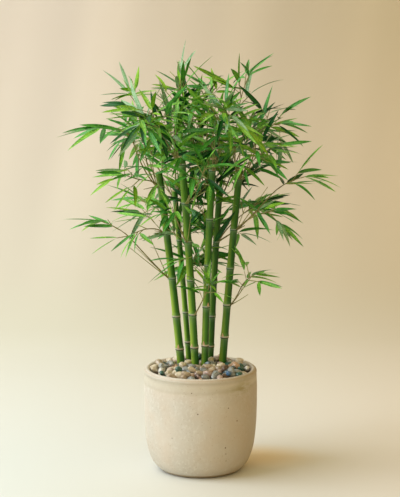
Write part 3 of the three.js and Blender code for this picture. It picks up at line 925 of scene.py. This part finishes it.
def buildPebbles():
    shapes = pebbleShapes()
    spots = spreadPebbles()
    tones = pebbleLook["tones"]
    total = sum(row[3] for row in tones.values())
    taken = {}
    for name, places in pebbleLook["named"].items():
        for x, y in places:
            nearest = min(range(len(spots)), key=lambda n: math.hypot(spots[n][0][0] - x, spots[n][0][1] - y)
                          - 2.0 * spots[n][0][2])
            taken[nearest] = name
    made = []
    low = 0.0
    for name, (*shades, share) in tones.items():
        high = low + share / total
        chosen = [s for n, s in enumerate(spots) if taken.get(n, name if low <= s[5] < high else "") == name]
        low = high
        material, tree, shader = newMaterial(name + "Pebble", {"Roughness": 0.28, "Coat Weight": 0.3,
                                                               "Coat Roughness": 0.12})
        addMottle(tree, shader, map(colour, shades), *pebbleLook["mottle"])
        made.append(settle(name + "Pebbles", pointMesh(name, chosen), scatter,
                           {"Shapes": shapes, "Size": 1.0, "Material": material}))
    clearShapes(shapes)
    piece = made[0]
    with bpy.context.temp_override(active_object=piece, selected_editable_objects=made,
                                   selected_objects=made, object=piece):
        bpy.ops.object.join()
    piece.name = "riverPebbles"
    finishPiece(piece, "pebbles", "pebbles")
    print("pebbles: %d" % len(spots))


buildPebbles()

# branches, twigs and leaves grow by the same rule as the solids, then on into finer shoots
boughRadius = (2.5, 1.9)
stemRadius = (1.9, 1.2)
twigRadius = (1.35, 0.95)
gap = 0.3
boughSteps, stemSteps = 4, 3
leafShape = {"widestAt": 0.3, "widthShare": 0.14}
cellMargin, limbMargin = 2.5, 1.2
rule = {
    # pairs are the least and what may be added
    "along": (0.1, 0.82),  # where the twigs leave the stem
    "step": 2.4,  # turn from one twig to the next
    "spread": (0.6, 0.42),
    "length": (0.75, 0.5),
    "tilt": 1.5,
    "tipTurn": 0.24,
    "sideTurn": (0.5, 0.4),
    "droop": (0.08, 0.34),
    "leaf": (0.78, 0.3),
    "roll": 1.6,
    "apart": 0.16,  # between two leaves, against the twig
    "endTwig": 14,
}
branchKeys = ("name", "cane", "joint", "bough", "stem", "leaf", "twig", "twigs", "fan", "seed", "lush")
branches = [
    # the last value is the share of the finer growth that the mass gets, open sprays the least
    ("far_left", 1, 5, (-72, -26, 124), (-86, -14, 34), 112, 44, 2, 3, 11, 0.0),
    ("upper_left", 1, 5, (-44, 28, 150), (-40, 12, 92), 98, 50, 4, 3, 23, 0.1),
    ("mid_left", 1, 5, (-44, -66, 26), (-52, -50, 22), 84, 46, 4, 3, 31, 0.1),
    ("low_left", 1, 3, (-104, -30, 106), (-84, -16, 54), 92, 44, 3, 3, 42, 0.0),
    ("inner_left", 1, 4, (-42, -44, 18), (-42, -26, -8), 80, 40, 3, 3, 53, 0.0),
    ("front_small", 3, 4, (-28, -62, 66), (-12, -34, 40), 78, 38, 3, 3, 64, 0.3),
    ("front_left", 3, 6, (-44, -66, 74), (-44, -56, 64), 90, 54, 6, 3, 71, 0.9),
    ("top_left", 3, 6, (-12, 14, 140), (10, 6, 98), 94, 52, 4, 3, 83, 0.2),
    ("front_centre", 3, 5, (34, -112, 66), (18, -60, 54), 94, 52, 6, 3, 97, 0.0),
    ("top_centre", 4, 5, (-12, 26, 126), (-16, 10, 80), 84, 52, 6, 3, 101, 0.1),
    ("front_upper", 4, 5, (20, -70, 108), (10, -62, 66), 88, 54, 6, 3, 113, 0.7),
    ("centre_low", 3, 2, (26, -46, 46), (22, -22, 50), 62, 34, 3, 3, 127, 0.3),
    ("top_right", 6, 5, (-4, -12, 166), (30, -8, 110), 98, 52, 3, 3, 131, 0.2),
    ("upper_right", 6, 5, (46, -36, 112), (66, -22, 40), 88, 54, 5, 3, 149, 0.4),
    ("front_right", 6, 5, (34, -112, 62), (42, -62, 38), 86, 50, 4, 3, 151, 0.4),
    ("far_right", 6, 4, (100, -24, 98), (88, -14, 48), 98, 40, 3, 3, 163, 0.0),
    ("mid_right", 6, 4, (52, -66, 44), (54, -26, 18), 78, 44, 3, 3, 173, 0.1),
    ("low_right", 6, 2, (36, -30, 52), (40, -20, 40), 74, 44, 3, 3, 181, 0.2),
    ("back_left", 2, 5, (-62, 84, 110), (-50, 50, 66), 90, 54, 5, 3, 191, 1.0),
    ("back_upper", 2, 5, (18, 62, 176), (4, 30, 92), 90, 56, 5, 3, 199, 0.2),
    ("back_low_left", 2, 4, (-52, 88, 62), (-54, 52, 24), 86, 46, 4, 3, 211, 0.1),
    ("back_right", 5, 5, (56, 96, 112), (48, 54, 64), 90, 54, 4, 3, 223, 0.8),
    ("back_centre", 5, 5, (-22, 108, 82), (-8, 62, 44), 88, 52, 5, 3, 227, 1.0),
    ("centre", 5, 5, (-64, -4, 132), (-12, 8, 84), 86, 52, 6, 3, 241, 1.0),
    ("back_low_right", 5, 4, (68, 84, 58), (56, 50, 30), 86, 46, 4, 3, 233, 0.3),
]
branches = [dict(zip(branchKeys, row)) for row in branches]
growth = {
    "seedStep": 5000,  # the finer growth draws from a seed of its own
    "sideTwigs": 2,  # finer twigs on every twig of the rule
    "stemTwigs": 2,  # finer twigs straight from each stem
    "boughTwigs": 2,  # finer twigs on the outer part of each bough
    "length": (0.55, 1.2),  # length of a finer twig against the row's twig
    "radius": (0.95, 0.65),
    "leaf": (0.66, 1.2),  # length of a finer twig's leaf against the row's leaf
    "leaves": (2, 5),
    "tilt": 1.2,
    "tipTurn": 0.3,
    "sideTurn": (0.48, 0.6),
    "droop": (0.5, 1.6),  # most, and how much smaller ones are favoured
    "roll": 1.8,
    "apart": 0.72,  # share of the twig that holds leaves
    "twigClear": 0.7,
    "leafClear": 3,
    "mates": (3.2, -3.2, 0.6),  # thin shoots that leave the joint beside each bough, this far off
    "mateSpread": 34,  # how far from the bough's tip they end
    "mateReach": (0.75, 0.35),
    "mateClear": 0.9,
    "mateTwigs": 3,
    "leastWide": 5.0,  # a blade is this wide, and this share of its length wider
    "wideShare": 0.084,
    "turnToLight": (-0.28, -0.4, 0.14),  # blades turn their faces this way a little
    "lowest": 470,  # nothing finer grows below this height
    "spare": 4,  # how far past the solids' reach the finer growth may go
}
jointGrowth = {
    "seed": 7000,
    "seedStep": 31,
    "from": 2,  # the first joint with shoots, counted from the soil
    "shoots": 1,  # at each joint above that one
    "hidden": {1: 2, 3: 2, 4: 2},  # more at every joint of these canes, turned in behind the rest
    "inward": (0.4, 2.5),  # the turn that leads inward, from the left and from the right
    "rise": (0.5, 0.9),
    "length": (46, 56),
    "row": {"leaf": 92},
    "lush": {5: 0.5},
}


def curve(ends, steps):
    return [bend(*ends, i / steps) for i in range(steps + 1)]


def boughEnds(row):
    # a bough leaves its joint upwards and outwards
    cane = canes[row["cane"] - 1]
    height = cane[4][row["joint"] - 1]
    axis = canePoint(cane, height)
    tip = axis + np.array(row["bough"], dtype=float)
    outward = unit(np.array([row["bough"][0], row["bough"][1], 0.0]))
    start = axis + outward * (caneRadius(cane, height) * jointSwell + gap)
    return start, start + unit(outward + up) * 0.4 * np.linalg.norm(tip - start), tip


def stemEnds(row, bough):
    points = curve(bough, boughSteps)
    ahead = unit(points[-1] - points[-2])
    root = points[-1] + ahead * gap
    reach = np.array(row["stem"], dtype=float)
    return root, root + ahead * 0.45 * np.linalg.norm(reach), root + reach


boughs = [boughEnds(row) for row in branches]
stems = [stemEnds(row, bough) for row, bough in zip(branches, boughs)]
stemFrom, stemTo = np.array([stem[0] for stem in stems]), np.array([stem[2] for stem in stems])
stemMiddle = np.array([bend(*stem, 0.5) for stem in stems])
limbPieces = []
for cane in canes:
    heights = [soilTop, *cane[4], cane[1][2]]
    limbPieces += [(canePoint(cane, low), canePoint(cane, high), caneRadius(cane, low) * jointSwell)
                   for low, high in zip(heights, heights[1:])]
for bough in boughs:
    points = curve(bough, boughSteps)
    limbPieces += [(points[k], points[k + 1], lerp(*boughRadius, k / boughSteps)) for k in range(boughSteps)]
limbFrom, limbTo, limbRadius = (np.array(column) for column in zip(*limbPieces))
cadLow, cadHigh = (np.array(corner) / mm for corner in cadBox)


def toSegments(p, a, b):
    # how far each point is from each segment
    along = b - a
    off = p[:, None, :] - a[None]
    t = np.clip(np.einsum("pij,ij->pi", off, along) / np.sum(along * along, axis=1), 0, 1)
    return np.linalg.norm(off - t[..., None] * along[None], axis=2)


def inOwnSpace(points, own):
    # true where every point is nearer to its own stem than to any other
    p = np.array(points)
    far = np.minimum(toSegments(p, stemFrom, stemMiddle), toSegments(p, stemMiddle, stemTo))
    mine = far[:, own] + cellMargin
    far[:, own] = 1e9
    return bool(np.all(far.min(axis=1) > mine))


def clearOfLimbs(a, b, half):
    u = b - a
    v = limbTo - limbFrom
    w = a - limbFrom
    uu, uv, vv = u @ u, v @ u, np.sum(v * v, axis=1)
    uw, vw = w @ u, np.sum(v * w, axis=1)
    flat = uu * vv - uv * uv
    s = np.where(flat > 1e-9, np.clip((uv * vw - vv * uw) / np.maximum(flat, 1e-9), 0, 1), 0)
    t = np.clip((uv * s + vw) / vv, 0, 1)
    s = np.clip((uv * t - uw) / uu, 0, 1)
    near = (a + s[:, None] * u) - (limbFrom + t[:, None] * v)
    return bool(np.all(np.linalg.norm(near, axis=1) > limbRadius + half + limbMargin))


def withinReach(tip):
    low = (cadLow[0], cadLow[1], growth["lowest"])
    return bool(np.all(tip > low - np.array(growth["spare"])) and np.all(tip < cadHigh + growth["spare"]))


twigs, mates, sprays = [], [], []


def aside(random, much):
    return np.array([random() - 0.5, random() - 0.5, 0]) * much


def fanTurn(k, how, random):
    # the first leaf points nearly ahead, the others to either side in turn
    if k == 0:
        return how["tipTurn"] * (random() - 0.5)
    return (1 if k % 2 else -1) * drawn(random, *how["sideTurn"])


def leafAim(ahead, side, turn, droop):
    return unit(ahead * math.cos(turn) + side * math.sin(turn) - up * droop)


def addLeaf(base, aim, across, long):
    face = unit(np.cross(across, aim)) + np.array(growth["turnToLight"])
    sprays[-1].append((base, aim, face, long))


def shoot(own, start, ahead, length, fan, row, random, radii):
    # a twig of the source's rule with its fan of leaves
    end = start + ahead * length
    side = unit(np.cross(ahead, up + aside(random, rule["tilt"])))
    begin = start + ahead * 0.25 * length
    if not (inOwnSpace([end, lerp(start, end, 0.5)], own) and clearOfLimbs(begin, end, radii[1])):
        return False
    twigs.append((start, end, radii))
    sprays.append([])
    for k in range(fan):
        aim = leafAim(ahead, side, fanTurn(k, rule, random), drawn(random, *rule["droop"]))
        long = row["leaf"] * drawn(random, *rule["leaf"]) * (0.86 if k > 2 else 1)
        base = start + ahead * max(length, 12) * (1 - rule["apart"] * k)
        tip = base + aim * long
        across = unit(np.cross(aim, up + aside(random, rule["roll"])))
        half = leafShape["widthShare"] * long / 2
        wide = base + aim * leafShape["widestAt"] * long
        marks = [tip, wide + across * half, wide - across * half]
        marks += [lerp(base, tip, n / 7) for n in range(1, 7)]
        if inOwnSpace(marks, own) and clearOfLimbs(base, tip, half):
            addLeaf(base, aim, across, long)
    return True


def fineTwig(start, ahead, length, row, random, lush):
    # a thinner shoot, its leaves set from side to side along the outer part and one at the tip
    end = start + ahead * length
    begin = start + ahead * 0.3 * length
    if random() > lush or not (withinReach(end) and clearOfLimbs(begin, end, growth["twigClear"])):
        return
    twigs.append((start, end, growth["radius"]))
    sprays.append([])
    side = unit(np.cross(ahead, up + aside(random, growth["tilt"])))
    least, most = growth["leaves"]
    count = least + int((most - least + 1) * random())
    droop, favour = growth["droop"]
    for k in range(count):
        turn = fanTurn(k, growth, random)
        long = row["leaf"] * lerp(*growth["leaf"], random())
        base = start + ahead * length * (1 - growth["apart"] * k / count)
        aim = leafAim(ahead, side, turn, droop * random() ** favour)
        tip = base + aim * long
        across = unit(np.cross(aim, up + aside(random, growth["roll"])))
        if withinReach(tip) and clearOfLimbs(base, tip, growth["leafClear"]):
            addLeaf(base, aim, across, long)


def branchOff(ahead, spread, turn):
    side = unit(np.cross(ahead, np.array([1.0, 0, 0]) if abs(ahead[2]) > 0.9 else up))
    third = np.cross(side, ahead)
    return unit(ahead * math.cos(spread) + side * math.sin(spread) * math.cos(turn)
                + third * math.sin(spread) * math.sin(turn))


def growMass(own, row):
    random = seeded(row["seed"])
    finer = seeded(row["seed"] + growth["seedStep"])
    points = curve(stems[own], stemSteps)

    def fineLength():
        return row["twig"] * lerp(*growth["length"], finer())

    first = fullTurn * random()
    for k in range(row["twigs"]):
        at = rule["along"][0] + rule["along"][1] * (k + 0.6 * random()) / row["twigs"]
        step = min(int(at * stemSteps), stemSteps - 1)
        start = lerp(points[step], points[step + 1], at * stemSteps - step)
        ahead = unit(points[step + 1] - points[step])
        turn = first + k * rule["step"] + 0.5 * random()
        spread = drawn(random, *rule["spread"])
        length = row["twig"] * drawn(random, *rule["length"]) * (1 - 0.3 * at)
        aim = branchOff(ahead, spread, turn)
        if shoot(own, start, aim, length, row["fan"], row, random, twigRadius):
            for n in range(growth["sideTwigs"]):
                share = 0.3 + 0.25 * n + 0.15 * finer()
                fineAim = branchOff(aim, drawn(finer, 0.6, 0.6), halfTurn * n + 2 * finer())
                fineTwig(start + aim * length * share, fineAim, 0.8 * fineLength(), row, finer, row["lush"])
    end = points[-1]
    ahead = unit(end - points[-2])
    short, radii = rule["endTwig"], (stemRadius[1], twigRadius[1])
    shoot(own, end - ahead * short, ahead, short, row["fan"] + 1, row, random, radii)
    # finer twigs along the stem, then on the outer part of the bough
    for ends, count, low, share, wide, sway in ((stems[own], growth["stemTwigs"], 0.0, 1.0, 0.7, 1.0),
                                                (boughs[own], growth["boughTwigs"], 0.4, 0.58, 0.8, 1.5)):
        for n in range(count):
            at = low + share * (n + finer()) / count
            start = bend(*ends, at)
            ahead = unit(bend(*ends, at + 0.02) - start)
            aim = branchOff(ahead, drawn(finer, wide, 0.6), n * rule["step"] + sway * finer())
            fineTwig(start, aim, fineLength(), row, finer, row["lush"])


def growMates(own, row):
    # thin shoots that leave the same joint as the bough and end round about its tip
    random = seeded(row["seed"] + growth["seedStep"] * 2)
    start, control, tip = boughs[own]
    for beside in growth["mates"]:
        off = np.array([random() - 0.5, random() - 0.5, random() - 0.5]) * 2 * growth["mateSpread"]
        root = start + unit(np.cross(up, control - start)) * beside
        end = lerp(start, tip, drawn(random, *growth["mateReach"])) + off
        ends = root, lerp(root, end, 0.45) + (control - lerp(start, tip, 0.5)) * 0.25, end
        if not (withinReach(end) and clearOfLimbs(lerp(root, end, 0.25), end, growth["mateClear"])):
            continue
        points = curve(ends, 8)
        mates.append(points)
        ahead = unit(points[-1] - points[-2])
        aim = branchOff(ahead, 0.2, 2 * halfTurn * random())
        fineTwig(end - ahead * 8, aim, row["twig"] * 0.7, row, random, row["lush"])
        for m in range(growth["mateTwigs"]):
            aim = branchOff(ahead, drawn(random, 0.55, 0.5), halfTurn * m + 2 * random())
            length = row["twig"] * drawn(random, 0.45, 0.4)
            fineTwig(bend(*ends, 0.5 + 0.16 * m), aim, length, row, random, row["lush"] * 0.7)


def growJoints():
    # short leafy shoots at the upper joints of the canes
    row = jointGrowth["row"]
    for index, cane in enumerate(canes):
        random = seeded(jointGrowth["seed"] + jointGrowth["seedStep"] * index)
        lush = jointGrowth["lush"].get(index, 1.0)
        inward = jointGrowth["inward"][cane[0][0] > 0]
        for number, z in enumerate(cane[4][jointGrowth["from"]:]):
            seen = jointGrowth["shoots"] if number else 0
            for n in range(seen + jointGrowth["hidden"].get(index, 0)):
                turn = 3.94 * random() - 0.4 if n < seen else inward + 2.2 * (random() - 0.5)
                aim = unit(around(turn, 1.0, drawn(random, *jointGrowth["rise"])))
                out = unit(aim * np.array([1, 1, 0]))
                start = canePoint(cane, z + 2) + out * caneRadius(cane, z)
                length = drawn(random, *jointGrowth["length"])
                fineTwig(start + aim * 6, aim, length, row, random, lush)
                for m in range(2):
                    fineAim = branchOff(aim, drawn(random, 0.6, 0.4), halfTurn * m + 2 * random())
                    root = start + aim * length * (0.4 + 0.25 * m)
                    fineTwig(root, fineAim, length * 0.6, row, random, lush)


for massIndex, massRow in enumerate(branches):
    growMass(massIndex, massRow)
    growMates(massIndex, massRow)
growJoints()
print("growth: %d twigs, %d leaves" % (len(twigs), sum(map(len, sprays))))

woodLook = {
    "branchBark": ("5A5128", "86803E", "A99A66"),
    "twigBark": ("6B6A34", "8D9346", "B1A873"),
    # knuckles: how far apart, how much thicker
    "bough": (34, 1.32),
    "stem": (26, 1.32),
    "twig": (17, 1.25),
    "mate": (30, 1.3),
    "mateRadius": (1.4, 0.75),
    "mottle": (45.0, 600.0, 0.5, (1, 1, 0.6)),
}


def knuckled(line, radii, every, swell):
    # resamples a limb and thickens it at its own small joints
    steps = np.cumsum([0] + [np.linalg.norm(b - a) for a, b in zip(line, line[1:])])
    total = steps[-1]
    marks = set(np.round(np.linspace(0, total, max(3, int(total / 8))), 3))
    joints = np.arange(every, total - 4, every)
    for j in joints:
        marks.update({round(j - 1.8, 3), round(j, 3), round(j + 1.8, 3)})
    chain = []
    for mark in sorted(marks):
        i = min(int(np.searchsorted(steps, mark, side="right")) - 1, len(line) - 2)
        t = (mark - steps[i]) / max(steps[i + 1] - steps[i], 1e-6)
        thick = lerp(*radii, mark / total)
        if any(abs(mark - j) < 0.01 for j in joints):
            thick *= swell
        chain.append((lerp(line[i], line[i + 1], t), thick))
    return chain


def addWood(name, chains, sides, thickness, bark, *nodes):
    material, tree, shader = newMaterial(bark, {"Roughness": 0.55})
    addMottle(tree, shader, map(colour, woodLook[bark]), *woodLook["mottle"])
    piece = settle(name, chainMesh(name, chains), limbs,
                   {"Sides": sides, "Thickness": thickness, "Material": material})
    finishPiece(piece, "branch", *nodes)


def buildLimbs():
    chains = []
    for bough, stem in zip(boughs, stems):
        chains.append(knuckled(curve(bough, 14), boughRadius, *woodLook["bough"]))
        chains.append(knuckled(curve(stem, 12), stemRadius, *woodLook["stem"]))
    addWood("branchWood", chains, 10, 0.75, "branchBark", *["branch_" + row["name"] for row in branches])
    shoots = [knuckled([start, end], radii, *woodLook["twig"]) for start, end, radii in twigs]
    shoots += [knuckled(points, woodLook["mateRadius"], *woodLook["mate"]) for points in mates]
    addWood("twigs", shoots, 6, 1.0, "twigBark")


buildLimbs()
print("limbs: boughs, stems and twigs")

leafLook = {
    "stations": 13,
    # how far the tip arches down and sways aside, against length, and how far the blade twists
    "bends": ((0.03, 0.02, 0.3), (0.08, -0.04, -0.4), (0.14, 0.04, 0.6), (0.22, -0.03, -0.2),
              (0.32, 0.03, 0.3), (0.1, -0.05, 0.7), (0.18, 0.06, -0.6), (0.05, 0.0, 0.0)),
    # place along a blade and half its width there, 1 at its widest
    "outline": ((0, 0.07), (0.035, 0.09), (0.07, 0.32), (0.13, 0.7), (0.21, 0.93), (0.33, 1.0), (0.48, 0.98),
                (0.63, 0.86), (0.77, 0.63), (0.88, 0.36), (0.96, 0.13), (1.0, 0.015)),
    "crowd": 1.3,  # above 1 the stations stand closer near the stalk
    "arch": 1.9,  # above 1 the blade bends more towards its tip
    "sway": 7,  # sideways a blade is measured by its width, about a seventh of its length
    "fold": 0.3,
    "lift": 0.14,
    "mottle": (24.0, 260.0),
    "midrib": (0.03, 0.09, 0.5, 0.0),  # across the blade: where it is full and gone, and how pale
    "veins": (75.0, 0.25, 0.0002),  # how many, strength and depth
    "seed": 4242,
    "strays": 0.22,  # leaves with a tone of their own, one of the first three
    "tones": {  # dark, middle, light, share, shine
        # painted light and shade: the bright and lime tones are sunlit copies of the leaf, the deep one a
        # shaded copy
        "Bright": ("307E1A", "6CB830", "AADC50", 30, 0.45),
        "Mid": ("196615", "3C982B", "68B640", 30, 0.45),
        "Lime": ("46880E", "7EBA22", "B0D844", 13, 0.45),
        "Deep": ("043208", "084C12", "187620", 18, 0.25),
        "Glaucous": ("5A8A5C", "84AE7A", "B4D0A6", 12, 0.45),
    },
}


def bladeShapes():
    shapes = bpy.data.collections.new("bladeShapes")
    steps = leafLook["stations"]
    for n, (arch, sway, twist) in enumerate(leafLook["bends"]):
        vertices, faces, uv = [], [], []
        for i in range(steps + 1):
            t = (i / steps) ** leafLook["crowd"]
            turn = twist * t
            for k in (-2, -1, 0, 1, 2):
                off = 0.5 * np.interp(t, *zip(*leafLook["outline"])) * k / 2
                lift = leafLook["fold"] * abs(off)
                across = sway * t * t * leafLook["sway"] + off * math.cos(turn) - lift * math.sin(turn)
                rise = (off * math.sin(turn) + lift * math.cos(turn)) * leafLook["lift"]
                vertices.append((across, t, -arch * t ** leafLook["arch"] + rise))
                uv.append((0.5 + k / 4, t))
        for i in range(steps):
            faces += [(a, a + 1, a + 6, a + 5) for a in range(5 * i, 5 * i + 4)]
        mesh = meshFrom("blade%d" % n, vertices, faces)
        layer = mesh.uv_layers.new(name="blade")
        for loop in mesh.loops:
            layer.data[loop.index].uv = uv[loop.vertex_index]
        shapes.objects.link(bpy.data.objects.new("blade%d" % n, mesh))
    return shapes


def leafMaterial(name):
    *shades, _, shine = leafLook["tones"][name]
    material, tree, shader = newMaterial("leaf" + name, {"Roughness": 0.42, "Specular IOR Level": shine})
    tones = [colour(shade) for shade in shades]
    tone = addMottle(tree, shader, tones, *leafLook["mottle"])
    # pale midrib and fine veins along the blade
    x = apart(tree, node(tree, "ShaderNodeUVMap", uv_map="blade").outputs[0])["X"]
    off = maths(tree, "ABSOLUTE", maths(tree, "SUBTRACT", x, 0.5))
    tone = mixed(tree, ranged(tree, off, *leafLook["midrib"]), tone, tones[2])
    tree.links.new(tone, shader.inputs["Base Color"])
    count, strength, depth = leafLook["veins"]
    addBump(tree, shader, maths(tree, "SINE", maths(tree, "MULTIPLY", x, count)), strength, depth)
    return material


def toneWeights(x, y, z):
    # painted light and shade: deep tones for shaded leaves inside and behind, sunlit ones in front and
    # towards the window, pale ones outside, partly the leaves' waxy bloom and partly a painted sheen
    weights = {name: row[3] for name, row in leafLook["tones"].items()}
    inner = math.exp(-((x / 130) ** 2 + ((z - 850) / 130) ** 2)) if z < 980 else 0.0
    back = 2.0 if y > 50 and 690 < z < 980 and x > -60 else 0.0
    outer = 0.15 if x < -60 or z > 980 else 0.9 if x > 60 and z > 760 else 0.4
    weights["Deep"] *= outer + back + (6.5 if y > -20 else 2.0) * inner
    weights["Lime"] *= 2.0 if x < -70 else 0.5 if x < 20 else 0.2
    weights["Bright"] *= (1.7 if y < -40 else 0.7) * (0.6 if x > 50 else 1)
    weights["Mid"] *= 0.8 if y < -40 else 1.2
    weights["Glaucous"] *= 2.6 if z < 760 and x < -80 or z > 1030 or x < -170 else 0.7
    return weights


def dealTones():
    # a tone for each spray, by its place, and now and then another for one leaf
    names = list(leafLook["tones"])
    dealt = {name: [] for name in names}
    random = seeded(leafLook["seed"])
    for spray in filter(None, sprays):
        weights = toneWeights(*spray[0][0])
        pick = random() * sum(weights.values())
        for own in names:
            pick -= weights[own]
            if pick <= 0:
                break
        for base, aim, face, long in spray:
            tone = names[int(random() * 3)] if random() < leafLook["strays"] else own
            wide = (growth["leastWide"] + growth["wideShare"] * long) * drawn(random, 0.86, 0.28)
            size = (wide * mm, long * mm, long * mm)
            dealt[tone].append((base, aim, face, size, int(len(leafLook["bends"]) * random())))
    return dealt


def buildLeaves():
    shapes = bladeShapes()
    pieces = []
    for name, spots in dealTones().items():
        values = {"Shapes": shapes, "Size": 1.0, "Material": leafMaterial(name)}
        pieces.append(settle("leaves" + name, pointMesh(name, spots), scatter, values))
        print("leaves: %s %d" % (name, len(spots)))
    clearShapes(shapes)
    for piece in pieces:
        finishPiece(piece, "leaf")
    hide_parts(*["leaves_" + row["name"] for row in branches])


buildLeaves()
